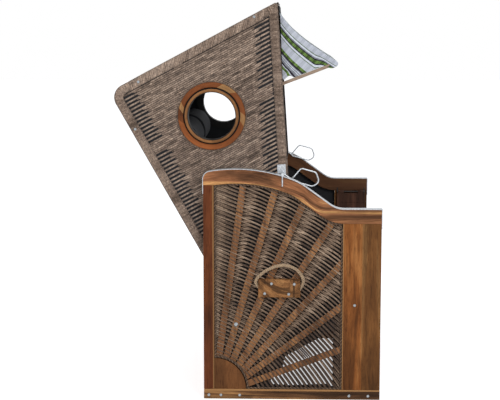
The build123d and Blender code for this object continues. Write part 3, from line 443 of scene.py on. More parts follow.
def ring_material(name, colour):
    """The porthole's ring: curved staves of different tones with slanted joints, some of sapwood"""
    recipe = Recipe(name)
    centred = recipe.coordinates(shift=(-PORTHOLE_X, 0, -PORTHOLE_Z))
    parts = recipe.parts(centred)
    reach = recipe.reach(parts)
    angle = recipe.maths("ARCTAN2", parts["Z"], parts["X"])
    slanted = recipe.add(angle, recipe.times(recipe.less(reach, 0.134), 7.0))
    share = recipe.maths("FRACT", recipe.add(recipe.maths("DIVIDE", slanted, 2 * pi), 0.5))
    sapwood = tuple(colours().sapwood)
    staves = recipe.ramp(share, [((start + 180) / 360, sapwood if tone < 0 else shade(colour, tone))
                                 for start, tone in RING_PARTS], "CONSTANT")
    grain = recipe.joined(reach, parts["Y"], recipe.times(angle, 0.02))
    tone, streaks, pores = timber_tone(recipe, grain, centred, WHITE, 0.7, 9.0)
    tone = recipe.multiply(staves, recipe.mix(tone, WHITE, 0.35))
    return oiled(recipe, tone, streaks, pores, 0.45, 0.65, 0.18)


def sleeve_material(name, dark):
    """The porthole's sleeve, painted almost black as shade inside its bore"""
    recipe = Recipe(name)
    streaks = recipe.plain_noise(42.0, 6.0, 0.64, 0.9)
    recipe.bump(streaks, 0.3, 0.001)
    return recipe.finish(recipe.mix(shade(dark, 0.7), shade(dark, 1.5), streaks), 0.55, Specular_IOR_Level=0.3)


def cane_material(name, dark, mid, light, grit_share=0.8):
    """Flat woven strand: each has its own tone, with streaks along it; its tone also carries painted highlights
    on the ridges and painted shade on strands that lie back
    """
    recipe = Recipe(name)
    tone = recipe.attribute("tone")
    patches = recipe.noise(recipe.joined(recipe.attribute("run"), recipe.times(tone, 3.0)), 24.0, 4.0, 0.65)
    grit = recipe.plain_noise(130.0, 3.0, 0.7)
    fibres = recipe.plain_noise(420.0, 3.0, 0.65)
    base = recipe.ramp(tone, [(0.0, dark), (0.5, mid), (1.0, light)])
    base = recipe.multiply(base, recipe.ramp(patches, [(0.34, (0.50, 0.48, 0.47)), (0.5, (0.95, 0.94, 0.92)),
                                                       (0.68, (1.42, 1.36, 1.28))]), 0.85)
    base = recipe.multiply(base, recipe.ramp(grit, [(0.36, (0.50, 0.47, 0.45)), (0.64, (1.35, 1.32, 1.28))]),
                           grit_share)
    base = recipe.multiply(base, recipe.ramp(fibres, [(0.35, (0.72, 0.70, 0.68)), (0.65, 1.1)]), 0.6)
    recipe.bump(fibres, 0.4, 0.0006)
    return recipe.finish(base, recipe.grey_ramp(patches, 0.3, 0.7, 0.50, 0.68), Specular_IOR_Level=0.25)


def weave_height(recipe, vector, scale):
    """The over and under of a plain woven cloth, as a height"""
    parts = recipe.parts(vector)
    waves = [recipe.maths("SINE", recipe.times(parts[axis], scale)) for axis in "XYZ"]
    return recipe.add(recipe.times(recipe.times(recipe.add(waves[0], waves[2]), waves[1]), 0.25), 0.5)


def plain_cloth_material(name, colour):
    """Close-woven outdoor cloth of one colour"""
    recipe = Recipe(name)
    weave = weave_height(recipe, recipe.coordinates(), 1100.0)
    drift = recipe.plain_noise(14.0, 3.0, 0.6)
    tone = recipe.mix(shade(colour, 0.75), shade(colour, 1.35), drift)
    tone = recipe.mix(tone, shade(colour, 0.6), recipe.times(weave, 0.5))
    recipe.bump(weave, 0.5, 0.0005)
    return recipe.finish(tone, 0.85, Specular_IOR_Level=0.1, Sheen_Weight=0.05, Sheen_Roughness=0.5)


def metal_material(name, colour, roughness):
    """Galvanised steel with its clouded bloom"""
    recipe = Recipe(name)
    bloom = recipe.plain_noise(160.0, 4.0, 0.6, 0.4)
    tone = recipe.ramp(bloom, [(0.35, shade(colour, 0.62)), (0.6, colour), (0.75, shade(colour, 1.25))])
    recipe.bump(bloom, 0.15, 0.0004)
    return recipe.finish(tone, recipe.grey_ramp(bloom, 0.3, 0.7, roughness - 0.1, roughness + 0.12),
                         Metallic=0.85)


# Bands of the check, each from its place to the next, and how far the cross bands darken each tone
PLAID = (
    (0.000, "pale"), (0.0225, "olive"), (0.0255, "white"), (0.0325, "grey"), (0.0365, "dark"), (0.0415, "green"),
    (0.0530, "dark"), (0.0580, "white"), (0.0650, "olive"), (0.0685, "pale"), (0.1000, "green"), (0.1110, "dark"),
    (0.1180, "grey"), (0.1215, "white"), (0.1245, "grey"), (0.1300, "white"), (0.1330, "grey"), (0.1430, "dark"),
    (0.1500, "white"), (0.1540, "green"), (0.1650, "pale"), (0.1930, "dark"), (0.1990, "green"), (0.2060, "dark"),
    (0.2100, "white"),
)
PLAID_REPEAT = 0.232
PLAID_CROSS = ((0.0, 1.25), (0.009, 0.80), (0.012, 1.1), (0.017, 0.42), (0.024, 0.62), (0.029, 0.40),
               (0.032, 1.15), (0.043, 0.78), (0.047, 1.0), (0.051, 0.45), (0.060, 0.60))
PLAID_CROSS_REPEAT = 0.064
PLAID_DEPTH = {"pale": 0.24, "white": 0.10, "grey": 0.35, "olive": 0.30, "green": 0.95, "dark": 0.45}
FLAP_LINE = -0.006


def plaid_material(name, panelled):
    """Checked outdoor cloth on the piece's UV in metres, with plain dark cloth on its flap or side panels"""
    recipe = Recipe(name)
    look = colours()
    tones = {"pale": tuple(look.cloth), "dark": tuple(look.stripe), "green": tuple(look.green),
             "white": shade(look.cloth, 1.30), "grey": shade(look.cloth, 0.52),
             "olive": tuple((a + b) / 2 for a, b in zip(look.green, shade(look.cloth, 0.4)))}
    source = recipe.node("ShaderNodeUVMap", uv_map="UVMap").outputs[0]
    parts = recipe.parts(source)

    def banded(value, repeat, stops):
        wrapped = recipe.maths("FRACT", recipe.maths("DIVIDE", value, repeat))
        return recipe.ramp(wrapped, [(place / repeat, tone) for place, tone in stops], "CONSTANT")

    bands = banded(parts["X"], PLAID_REPEAT, [(place, tones[tone]) for place, tone in PLAID])
    depth = banded(parts["X"], PLAID_REPEAT, [(place, PLAID_DEPTH[tone]) for place, tone in PLAID])
    cross = banded(parts["Y"], PLAID_CROSS_REPEAT, PLAID_CROSS)
    threads = weave_height(recipe, source, 3600.0)
    tone = recipe.multiply(bands, cross, depth)
    tone = recipe.multiply(tone, (0.35, 0.35, 0.38), recipe.times(threads, 0.18))
    drift = recipe.plain_noise(9.0, 3.0, 0.6)
    tone = recipe.multiply(tone, recipe.ramp(drift, [(0.3, (0.86, 0.86, 0.88)), (0.7, 1.0)]), 0.8)
    plain = recipe.mix(shade(look.anthracite, 0.8), shade(look.anthracite, 1.2), threads)
    shown, edge = (recipe.attribute("panel"), 0.0) if panelled else (parts["Y"], FLAP_LINE)
    tone = recipe.mix(plain, tone, recipe.maths("GREATER_THAN", shown, edge))
    recipe.bump(threads, 0.3, 0.0005)
    return recipe.finish(tone, 0.8, Specular_IOR_Level=0.1, Sheen_Weight=0.03, Sheen_Roughness=0.5)


def rope_material(name, colour):
    """Twisted natural fibre"""
    recipe = Recipe(name)
    fibre = recipe.plain_noise(900.0, 4.0, 0.7)
    drift = recipe.plain_noise(45.0, 3.0, 0.6)
    tone = recipe.ramp(fibre, [(0.3, shade(colour, 0.45)), (0.5, colour), (0.7, shade(colour, 1.5))])
    tone = recipe.multiply(tone, recipe.ramp(drift, [(0.3, (0.75, 0.72, 0.7)), (0.7, (1.1, 1.08, 1.05))]), 0.7)
    recipe.bump(fibre, 0.7, 0.0012)
    return recipe.finish(tone, 0.85, Specular_IOR_Level=0.2, Sheen_Weight=0.3, Sheen_Roughness=0.6)


LOOKS = {}


def make_looks():
    """All the finishes, made once"""
    def tone(name):
        return tuple(getattr(colours(), name))

    rail_fade = ((-0.10, 1.70), (0.14, 1.55), (0.27, 2.00), (0.42, 1.30), (0.56, 1.00))
    stile_boards = (FRONT_SEAM_X, (1.22, 1.08, 0.90), (0.84, 0.88, 0.86))
    LOOKS.update(
        cane=cane_material("woven_cane", tone("cane_dark"), tone("cane"), tone("cane_light")),
        side_cane=cane_material("side_cane", tone("side_dark"), tone("side_mid"), tone("side_light"), 0.35),
        wrap=cane_material("wrapped_cane", shade(tone("cane_dark"), 1.3), shade(tone("cane"), 1.15),
                           tone("cane_light")),
        rear_stile=wood_material("rear_stile_wood", tone("rear_stile"), "z", 1.0, 0.6, 9.0,
                                 ("X", REAR_X + 0.0400, 1, 0.62)),
        front_stile=wood_material("front_stile_wood", tone("stile"), "z", 12.0, 0.8, 8.0,
                                  ("X", FRONT_STILE_X + 0.0040, -1, 1.0), 0.35, stile_boards),
        sill=wood_material("skid_wood", tone("sill"), "x", 2.0, 0.9, 10.0, ("Z", 0.0385, 1, 1.0), 0.6),
        rail=round_wood_material("rail_wood", tone("rail"), (PIVOT_X, PIVOT_Z), 0.06, 1.0, 17.0, None, 1.0,
                                 rail_fade),
        ray=wood_material("ray_wood", tone("ray"), "z", 4.0, 0.7, 12.0, None, 0.3),
        disc=wood_material("disc_wood", tone("disc"), "z", 5.0, 0.5),
        block=round_wood_material("block_wood", tone("block"), (0.185, 0.640), 0.05, 1.0, 20.0, 0.2023, 0.6),
        board=wood_material("cross_board_wood", tone("rail"), "y", 7.0, 0.8, 7.0, None, 0.3),
        # The side table's dark colour is painted shade
        table=wood_material("table_wood", tone("inner"), "z", 8.0, 0.7),
        ring=ring_material("ring_wood", tone("ring")),
        lip=round_wood_material("lip_wood", tone("block"), (PORTHOLE_X, PORTHOLE_Z), 0.02, 0.6, 9.0),
        # The sleeve's near-black colour is painted shade inside the porthole's bore
        sleeve=sleeve_material("sleeve_stain", (0.011, 0.009, 0.008)),
        bow=wood_material("bow_wood", tone("bow"), "x", 10.0, 0.5),
        lining=plain_cloth_material("dark_lining_cloth", tone("lining")),
        piping=plain_cloth_material("piping_cloth", tone("piping")),
        charcoal=plain_cloth_material("charcoal_cloth", tone("charcoal")),
        metal=metal_material("galvanised_steel", (0.62, 0.65, 0.68), 0.42),
        zinc=metal_material("zinc_bolts", (0.42, 0.45, 0.47), 0.45),
        iron=metal_material("dark_hinge_iron", (0.060, 0.052, 0.048), 0.6),
        plaid=plaid_material("checked_awning_cloth", False),
        cushion=plaid_material("checked_cushion_cloth", True),
        rope=rope_material("twisted_rope", tone("rope")),
    )


# --- Making pieces ---

def link_object(name, data):
    made = bpy.data.objects.new(name, data)
    bpy.context.scene.collection.objects.link(made)
    return made


def add_modifier(target, name, kind, **settings):
    made = target.modifiers.new(name, kind)
    for key, value in settings.items():
        setattr(made, key, value)


def new_piece(name, mesh, look, body, smooth=True):
    """Links a finished mesh as a piece that rides on a body"""
    mesh.name = name
    mesh.materials.clear()
    mesh.materials.append(LOOKS[look])
    mesh.polygons.foreach_set("use_smooth", [smooth] * len(mesh.polygons))
    piece = link_object(name, mesh)
    if body:
        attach(piece, body)
    return piece


def finish_node(name, look, edge=0.0):
    """Gives a CAD node its finish and, for a board, softened edges"""
    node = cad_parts[name]
    node.data.materials.clear()
    node.data.materials.append(LOOKS[look])
    if edge:
        add_modifier(node, "merged_corners", "WELD", merge_threshold=0.00001)
        add_modifier(node, "whole_faces", "DECIMATE", decimate_type="DISSOLVE", angle_limit=radians(2))
        add_modifier(node, "worn_edges", "BEVEL", width=edge, segments=2, limit_method="ANGLE",
                     angle_limit=radians(35), harden_normals=False)


def finished(shape, name):
    """The mesh of a bmesh, which is freed"""
    mesh = bpy.data.meshes.new(name)
    shape.to_mesh(mesh)
    shape.free()
    return mesh


def set_values(mesh, name, values):
    """A number for each vertex, under a name that the materials read"""
    mesh.attributes.new(name, "FLOAT", "POINT").data.foreach_set("value", values.astype("f"))


def vertex_places(mesh):
    places = np.empty(len(mesh.vertices) * 3)
    mesh.vertices.foreach_get("co", places)
    return places.reshape(-1, 3)


def move_vertices(mesh, places):
    mesh.vertices.foreach_set("co", places.ravel())
    mesh.update()


def new_curve(name, **settings):
    curve = bpy.data.curves.new(name, "CURVE")
    for key, value in {"dimensions": "3D", **settings}.items():
        setattr(curve, key, value)
    return curve


def lay_line(curve, points, closed=False):
    """Adds a line of straight steps to a curve"""
    line = curve.splines.new("POLY")
    line.points.add(len(points) - 1)
    line.points.foreach_set("co", np.hstack([points, np.ones((len(points), 1))]).ravel())
    line.use_cyclic_u = closed
    return line


def curve_mesh(curve):
    """The mesh that a curve makes"""
    holder = link_object(curve.name, curve)
    bpy.context.view_layer.update()
    mesh = bpy.data.meshes.new_from_object(holder)
    bpy.data.objects.remove(holder)
    return mesh


def strand_mesh(name, runs, width, thickness, place):
    """Flat strands with an oval section along given runs; Z of the local frame is the outward side"""
    curve = new_curve(name, twist_mode="Z_UP", bevel_depth=thickness / 2, bevel_resolution=0,
                      extrude=max(0.0, (width - thickness) / 2))
    tones, lengths = [], []
    for points, tone, *narrowing in runs:
        points = np.asarray(points, float)
        count = len(points)
        line = lay_line(curve, points)
        line.points.foreach_set("tilt", np.full(count, pi / 2))
        radius = np.array(narrowing[0], float) if narrowing else np.ones(count)
        radius[0] = radius[-1] = 0.0
        line.points.foreach_set("radius", radius)
        tones.append(np.broadcast_to(tone, count))
        lengths.append(distances(points))
    mesh = curve_mesh(curve)
    tones, lengths = np.concatenate(tones), np.concatenate(lengths)
    around = len(mesh.vertices) // len(tones)
    if around * len(tones) != len(mesh.vertices):
        raise RuntimeError(f"{name}: {len(mesh.vertices)} vertices for {len(tones)} points")
    set_values(mesh, "tone", np.repeat(tones, around))
    set_values(mesh, "run", np.repeat(lengths, around))
    shape = bmesh.new()
    shape.from_mesh(mesh)
    bmesh.ops.transform(shape, matrix=place, verts=shape.verts)
    bmesh.ops.remove_doubles(shape, verts=shape.verts, dist=0.00002)
    bmesh.ops.recalc_face_normals(shape, faces=shape.faces)
    shape.to_mesh(mesh)
    shape.free()
    return mesh


def side_plane(sense):
    """From a side view's X, height and outward depth to the chair's frame"""
    return Matrix(((1, 0, 0, 0), (0, 0, sense, 0), (0, 1, 0, 0), (0, 0, 0, 1)))


# --- Lines and paths ---

def smooth_step(value, low, high):
    share = np.clip((value - low) / (high - low), 0.0, 1.0)
    return share * share * (3 - 2 * share)


def drifting(source, count, span=5):
    """Random numbers of which each is the mean of its neighbours"""
    return np.convolve(source.random(count), np.ones(span) / span, "same")


def averaged(values, weights=(0.2,) * 5):
    """A running mean that repeats the values at both ends"""
    return np.convolve(np.pad(values, len(weights) // 2, mode="edge"), weights, "valid")


def stretches(keep, least):
    """Start and end of each stretch of kept points that has more than a least number of them"""
    edges = np.flatnonzero(np.diff(np.r_[0, keep.astype(int), 0]))
    return [(start, end) for start, end in zip(edges[::2], edges[1::2]) if end - start > least]


def distances(path):
    """The way along a path to each of its points"""
    return np.r_[0.0, np.cumsum(np.linalg.norm(np.diff(path, axis=0), axis=1))]


def resampled(path, samples):
    """The points of a path at given distances along it"""
    lengths = distances(path)
    return np.stack([np.interp(samples, lengths, path[:, axis]) for axis in range(path.shape[1])], 1)


def even_steps(path, pitch, closed=True):
    """Evenly spaced places along a path, with the direction ahead at each"""
    if closed:
        path = np.vstack([path, path[:1]])
    length = distances(path)[-1]
    spots = resampled(path, np.linspace(0, length, max(2, int(round(length / pitch))), endpoint=not closed))
    ahead = np.gradient(spots, axis=0)
    return spots, ahead / np.linalg.norm(ahead, axis=1)[:, None]


def smooth_line(points, count):
    """Evenly spaced points on a smooth line through given ones"""
    points = np.asarray(points, float)
    padded = np.vstack([2 * points[0] - points[1], points, 2 * points[-1] - points[-2]])
    fine = []
    for before, start, end, after in zip(padded, padded[1:], padded[2:], padded[3:]):
        for t in np.linspace(0, 1, 16, endpoint=False):
            fine.append(0.5 * (2 * start + (end - before) * t
                               + (2 * before - 5 * start + 4 * end - after) * t ** 2
                               + (3 * start - before - 3 * end + after) * t ** 3))
    fine = np.array(fine + [points[-1]])
    return resampled(fine, np.linspace(0, distances(fine)[-1], count))


def rounded_path(corners, radii, step):
    """Points along a closed path of straight runs with rounded corners"""
    points = []
    count = len(corners)
    for number, radius in enumerate(radii):
        here = np.array(corners[number])
        if not radius:
            points.append(here)
            continue
        before = np.array(corners[number - 1]) - here
        after = np.array(corners[(number + 1) % count]) - here
        before /= np.linalg.norm(before)
        after /= np.linalg.norm(after)
        half = np.arccos(np.clip(before @ after, -1, 1)) / 2
        run = radius / tan(half)
        centre = here + (before + after) / np.linalg.norm(before + after) * radius / sin(half)
        start, end = (atan2(*(here + way * run - centre)[::-1]) for way in (before, after))
        turn = (end - start + pi) % (2 * pi) - pi
        for share in np.linspace(0, 1, max(3, ceil(abs(turn) * radius / step) + 1)):
            angle = start + turn * share
            points.append(centre + radius * np.array([cos(angle), sin(angle)]))
    return np.array(points)


# --- The weave of the basket's sides ---

def leaning(degrees):
    """Direction in the side view that leans forward from upright"""
    return np.array([sin(radians(degrees)), cos(radians(degrees))])


def rail_underside(x):
    """Height of the top rail's inner edge above a place along the chair"""
    shoulder_x, shoulder_z = np.array([PIVOT_X, PIVOT_Z]) + SHOULDER_RADIUS * leaning(SHOULDER_LEAN)
    slope_x = shoulder_x + SLOPE_RADIUS * sin(radians(SLOPE_LEAN))
    if x < PIVOT_X + RAIL_INNER_RADIUS * sin(radians(SHOULDER_LEAN)):
        return PIVOT_Z + sqrt(max(0.0, RAIL_INNER_RADIUS ** 2 - (x - PIVOT_X) ** 2))
    if x < slope_x:
        return shoulder_z + sqrt(SLOPE_RADIUS ** 2 - (x - shoulder_x) ** 2)
    if x < REAR_X + HOLLOW_START:
        return shoulder_z + SLOPE_RADIUS * cos(radians(SLOPE_LEAN)) - (x - slope_x) * tan(radians(SLOPE_LEAN))
    return HOLLOW_Z - sqrt(max(0.0, HOLLOW_RADIUS ** 2 - (x - REAR_X - HOLLOW_MIDDLE) ** 2))


def ray_lines():
    """Start and direction of each sun ray's middle line"""
    sun = np.array([SUN_X, SUN_Z])
    return [(sun + RAY_START * leaning(rim), leaning(lean)) for rim, lean in zip(RAY_RIM_LEANS, RAY_LEANS)]


def strand_state(number, x, sector, offsets):
    """How far a side strand shows at a place in a sector between two rays, whether it lies on a ray, and how
    far across the sector it has come"""
    first, last = sector < 0, sector + 1 == len(offsets)
    from_rear, from_front = x - SUN_X, FRONT_STILE_X - x
    near = from_rear if first else offsets[sector] - RAY_HALF
    far = from_front if last else -offsets[sector + 1] - RAY_HALF
    on_ray = float(min(1.0 if first else near, 1.0 if last else far) < 0.004)
    share = near / max(near + far, 1e-6)
    if sector >= OPEN_SECTOR:
        shown = 1 - smooth_step(far, 0.022, 0.034) if last else number in CLOSED_RUN
    else:
        shown = (1.0 if first else smooth_step(share, *SHOWN_FROM)) * (1 - smooth_step(share, *SHOWN_UNTIL))
        shown *= 0.15 + 0.85 * smooth_step(near + far, *SHOWN_WIDTH)
    shown = max(shown, *(1 - smooth_step(edge, *CLOSED_EDGE) for edge in (from_front, from_rear)))
    return shown, on_ray, smooth_step(share, 0.04, 0.60)


def in_opening(x, z):
    """Whether a place is between the stiles, above the skid, outside the sun disc and below the rail"""
    top = rail_underside(min(max(x, SUN_X), FRONT_STILE_X))
    return (SUN_X - 0.006 < x < FRONT_STILE_X + 0.006 and 0.040 < z < top + 0.006
            and hypot(x - SUN_X, z - SUN_Z) > DISC_RADIUS + 0.001)


def side_strands():
    """The strands of a side panel: they cross the rays on a slant that grows towards the front"""
    pitch = sizes().side_pitch
    source = np.random.default_rng(11)
    leans = np.radians(FAN_LEANS)
    slopes = np.radians(17.5 + 0.45 * FAN_LEANS)
    growth = np.exp(np.r_[0.0, np.cumsum(np.tan(leans - slopes)[:-1] * np.diff(leans))])
    growth /= growth[np.argmin(np.abs(leans - radians(33)))]
    across = np.stack([np.sin(leans), np.cos(leans)], 1)
    lines = ray_lines()
    count = int(FAN_REACH / pitch)
    drift = drifting(source, count + 8)
    runs = []
    for number in range(count):
        radius = FIRST_STRAND + number * pitch
        tucked = number % 2
        middle = np.array([SUN_X, SUN_Z]) + (radius * growth)[:, None] * across
        offsets = np.array([(middle - start) @ np.array([ahead[1], -ahead[0]]) for start, ahead in lines])
        sector = np.max(np.where(offsets > 0, np.arange(len(lines))[:, None], -1), axis=0)
        is_open = sector >= OPEN_SECTOR
        own = source.normal(0, 0.13, len(lines) + 1)
        shown, on_ray, cross = np.array([strand_state(number, x, *state)
                                         for x, *state in zip(middle[:, 0], sector, offsets.T)]).T
        wide = smooth_step(radius, 0.28, 0.42)
        if tucked:
            depth = SIDE_HIDDEN_Y + 0.0066 * shown
            slide = pitch * (-0.80 * (1 - shown) * (1 - wide) + wide * (-0.85 + 1.6 * cross))
            plain_slide = -0.80 * pitch * (1 - shown)
        else:
            depth = SIDE_STRAND_Y + 0.0048 * np.clip(on_ray + 0.55 * (1 - shown), 0, 1)
            slide, plain_slide = -0.25 * pitch * wide, 0.0
        slide = averaged(np.where((sector < 0) | is_open, plain_slide, slide))
        middle = middle + across * slide[:, None]
        inside = np.array([in_opening(x, z) for x, z in middle])
        tone = 0.45 + 0.4 * (drift[number] - 0.5) + source.normal(0, 0.08) + own[sector + 1]
        # Painted shade: strands are darker where they lie back hidden and lighter where they show
        tone = averaged(tone + 0.22 * (shown - 0.4) * (0.5 if tucked else 1.0))
        # Painted shade: strands in the open sectors are darker
        tone = np.clip(tone - 0.32 * is_open, 0.03, 0.98)
        slim = 1 - 0.42 * averaged(on_ray, (0.25, 0.5, 0.25))
        slim = slim * np.where(is_open, 0.95 + 0.25 * (1 - shown) * (1 - tucked), 1.0)
        points = np.column_stack([middle, depth])
        runs += [(points[start:end], tone[start:end], slim[start:end]) for start, end in stretches(inside, 4)]
    return runs


def opening_edges():
    """The edges of a side panel's opening: rear and top, front and floor, and the sun disc's rim"""
    top = [(x, rail_underside(x)) for x in np.linspace(SUN_X, FRONT_STILE_X, 60)]
    rear = [(SUN_X, z) for z in np.linspace(SUN_Z + DISC_RADIUS - 0.004, top[0][1], 40)]
    front = [(FRONT_STILE_X, z) for z in np.linspace(top[-1][1], SUN_Z, 50)]
    floor = [(x, SUN_Z) for x in np.linspace(FRONT_STILE_X, SUN_X + DISC_RADIUS - 0.004, 30)]
    disc = [np.array([SUN_X, SUN_Z]) + DISC_RADIUS * leaning(lean) for lean in np.linspace(90, 0, 24)]
    return rear[:-1] + top, front[1:] + floor[1:], disc


def braid_runs(path, depth):
    """Two strands twisted round each other along a path in the side view"""
    path = np.asarray(path, float)
    samples = np.arange(0.0, distances(path)[-1], BRAID_PITCH / 6)
    spots = resampled(path, samples)
    ahead = np.gradient(spots, axis=0)
    ahead /= np.linalg.norm(ahead, axis=1)[:, None] + 1e-9
    across = np.stack([ahead[:, 1], -ahead[:, 0]], 1)
    runs = []
    for start, tone in zip((0.0, pi), BRAID_TONES):
        turn = samples / BRAID_PITCH * 2 * pi + start
        side = BRAID_WIDTH * (0.5 + 0.32 * np.sin(turn))
        runs.append((np.column_stack([spots + across * side[:, None], depth + 0.0016 * np.cos(turn)]), tone))
    return runs


# --- The weave of the hood ---

def over_and_under(places, number, source, pitch):
    """Rise from -1 to 1 and tone of a strand that passes over and under hidden stakes, two strands alike; the
    tone carries painted light
    """
    halves = 2 * (places / pitch + 0.5 * (number // 2 % 2))
    half = np.floor(halves).astype(int)
    phase = halves - half
    rise = np.where(half % 2 == 0, 1.0, -1.0) * np.sin(pi * phase) ** 0.6
    own = source.random(ceil(halves.max()) + 3)[half - half.min()]
    # Painted light: lighter where the strand rises over a stake and darker where it dips under, and a painted
    # highlight beside the stakes on every fourth strand
    stake_highlight = np.exp(-((phase - 0.04) / 0.05) ** 2) * (number % 4 == 1)
    return rise, 0.48 + 0.15 * rise + 0.42 * (own - 0.5) + 0.9 * stake_highlight


def hood_edges(u, inset):
    """Reach of a hood side at a height, to its front edge and to its lower edge, less an inset"""
    front = LATCH_CORNER[0] + (u - LATCH_CORNER[1]) * BROW_SLOPE - inset / cos(atan2(BROW_SLOPE, 1))
    lower = LOWER_TOUCH[0] + (u - LOWER_TOUCH[1]) / LOWER_RISE - inset * sqrt(1 + LOWER_RISE ** 2) / LOWER_RISE
    return front, lower


def hood_line_runs(seed):
    """The strands of a hood side, parallel to the roof's edge, with slots beside the borders"""
    pitch, stake_pitch = sizes().hood_pitch, sizes().stake_pitch
    source = np.random.default_rng(seed)
    count = int(1.20 / pitch)
    drift = drifting(source, count + 12)
    n = np.arange(HOOD_REAR + HOOD_BORDER - 0.004, HOOD_BROW[0], 0.008)
    runs = []
    for number in range(count):
        level = HOOD_REAR_TOP[1] - HOOD_BORDER - 0.0035 - (number + 0.5) * pitch
        u = level - ROOF_FALL * (n - HOOD_REAR)
        front, lower = hood_edges(u, HOOD_BORDER)
        inside = n < np.minimum(front, lower) + 0.004
        if inside.sum() < 4:
            continue
        rear_slot = any(low < u[0] < high for low, high in REAR_SLOTS)
        front_slot = np.any([(u > low) & (u < high) for low, high in FRONT_SLOTS], axis=0)
        hidden = np.maximum(rear_slot * (1 - smooth_step(n - HOOD_REAR - HOOD_BORDER, *REAR_SLOT_END)),
                            front_slot * (1 - smooth_step(front - n, *FRONT_SLOT_END)))
        lift, tone = over_and_under(n - BROW_SLOPE * u + 0.9, number, source, 2 * stake_pitch)
        tone = np.clip(tone + 0.8 * (drift[number] - 0.5) + source.normal(0, 0.09)
                       + 0.12 * smooth_step(-u, -0.80, -0.45), 0.0, 1.0)
        depth = HOOD_STRAND_Y + 0.0011 * lift
        if number % 2:
            depth = depth - 0.0040 * hidden
            u = u + 0.80 * pitch * hidden
        else:
            depth = depth * (1 - hidden) + (HOOD_STRAND_Y + 0.0010) * hidden
            tone = tone * (1 - hidden) + 0.72 * hidden
        clear = np.hypot(n - PORTHOLE[0], u - PORTHOLE[1]) > PORTHOLE_CLEAR
        points = np.column_stack([n, u, depth])
        runs += [(points[start:end], tone[start:end]) for start, end in stretches(inside & clear, 3)]
    return runs


def wrap_runs(seed):
    """The strands wrapped round a hood side's border: on a slant along the roof, square to the other edges"""
    source = np.random.default_rng(seed)
    outline = rounded_path([(HOOD_REAR, 0.02), HOOD_REAR_TOP, HOOD_BROW, LATCH_CORNER, LOWER_TOUCH],
                           [0, HOOD_CORNER_RADIUS, 0.008, 0.020, 0], 0.004)
    spots, ahead = even_steps(outline, sizes().wrap_pitch)
    inward = np.stack([ahead[:, 1], -ahead[:, 0]], 1)
    reach, depth = np.array(WRAP_SECTION).T
    cells = drifting(source, len(spots) // 3 + 8, 2)
    runs = []
    for number, (spot, step, side) in enumerate(zip(spots, ahead, inward)):
        on_roof = float(abs(step[0]) > 0.98 and spot[1] > 1.0)
        level = smooth_step(spot[0], 0.10, 0.16) * (1 - smooth_step(spot[0], 0.76, 0.80))
        slant = -0.9 * on_roof * float(level)
        golden = 0.30 * on_roof * float(1 - smooth_step(spot[0], 0.33, 0.36))
        tone = 0.46 + golden + (0.9 - 0.5 * on_roof) * (cells[number // 3] - 0.5)
        tone += source.normal(0, 0.10 + 0.06 * on_roof)
        rows = 0.16 * (1 - on_roof) * np.sin(reach * 520 + 2.2 * (number // 2 % 2) + source.random())
        tone += on_roof * (0.16 if number % 2 else -0.16)
        places = spot + np.outer(reach, side) + np.outer(slant * (reach - 0.020), step)
        points = np.column_stack([places, depth])
        if on_roof and abs(spot[0] - BORDER_BRIDGE) < 0.020:
            points[0, :2] += side * 0.012
            tone += 0.12
        runs.append((points, np.clip(tone + rows, 0.03, 0.98)))
    return runs


def ring_runs(radius, depth, width, pitch):
    """Two strands twisted round each other in a circle about the porthole"""
    count = int(2 * pi * radius / pitch)
    turns = np.linspace(0, 2 * pi, count * 6 + 1)
    runs = []
    for start, tone in ((0.0, 0.42), (pi, 0.22)):
        wave = turns * count + start
        reach = radius + width * 0.32 * np.sin(wave)
        runs.append((np.column_stack([PORTHOLE[0] + reach * np.cos(turns), PORTHOLE[1] + reach * np.sin(turns),
                                      depth + 0.0010 * np.cos(wave)]), tone))
    return runs


# --- Cloth and stuffing ---

def lay_grid(shape, columns, rows, place):
    """Adds a grid whose places and cloth coordinates come from place(share along, share across)"""
    cloth = shape.loops.layers.uv.get("UVMap") or shape.loops.layers.uv.new("UVMap")
    made = bmesh.ops.create_grid(shape, x_segments=columns, y_segments=rows, size=1)["verts"]
    chart = {}
    for vert in made:
        vert.co, chart[vert] = place((vert.co.x + 1) / 2, (vert.co.y + 1) / 2)
    for face in {face for vert in made for face in vert.link_faces}:
        for loop in face.loops:
            loop[cloth].uv = chart[loop.vert]


def cut_faces(shape, test):
    """Takes away the faces whose middle passes a test of its X and Z"""
    middles = [(face, face.calc_center_median()) for face in shape.faces]
    cut = [face for face, middle in middles if test(middle.x, middle.z)]
    bmesh.ops.delete(shape, geom=cut, context="FACES")


def with_modifier(mesh, kind, **settings):
    """The mesh as one modifier leaves it"""
    holder = link_object("workpiece", mesh)
    add_modifier(holder, "step", kind, **settings)
    bpy.context.view_layer.update()
    done = bpy.data.meshes.new_from_object(holder.evaluated_get(bpy.context.evaluated_depsgraph_get()))
    bpy.data.objects.remove(holder)
    return done


def cloth_mesh(shape, thickness):
    """Joins the edges of a sheet's parts and gives it its thickness"""
    bmesh.ops.remove_doubles(shape, verts=shape.verts, dist=0.0002)
    bmesh.ops.recalc_face_normals(shape, faces=shape.faces)
    return with_modifier(finished(shape, "cloth"), "SOLIDIFY", thickness=thickness, offset=0.0)


def stuffed_block(length, width, thickness, crown, pull):
    """A block on Z = 0 with drawn-in sides, eased corners and a crowned top"""
    shape = bmesh.new()
    bmesh.ops.create_cube(shape, size=2)
    bmesh.ops.subdivide_edges(shape, edges=shape.edges, cuts=14, use_grid_fill=True)
    for vert in shape.verts:
        a, b, c = vert.co
        ease = 1 - 0.035 * abs(a * b) ** 6
        rim = 1 - 0.16 * max(abs(a), abs(b)) ** 5 if c > 0 else 1
        rise = c * crown * (1 - a * a) * (1 - b * b) if c > 0 else 0
        vert.co = (a * length / 2 * (1 - pull * (1 - b * b)) * ease,
                   b * width / 2 * (1 - pull * (1 - a * a)) * ease, (1 + c * rim) * thickness / 2 + rise)
    return finished(shape, "stuffing")


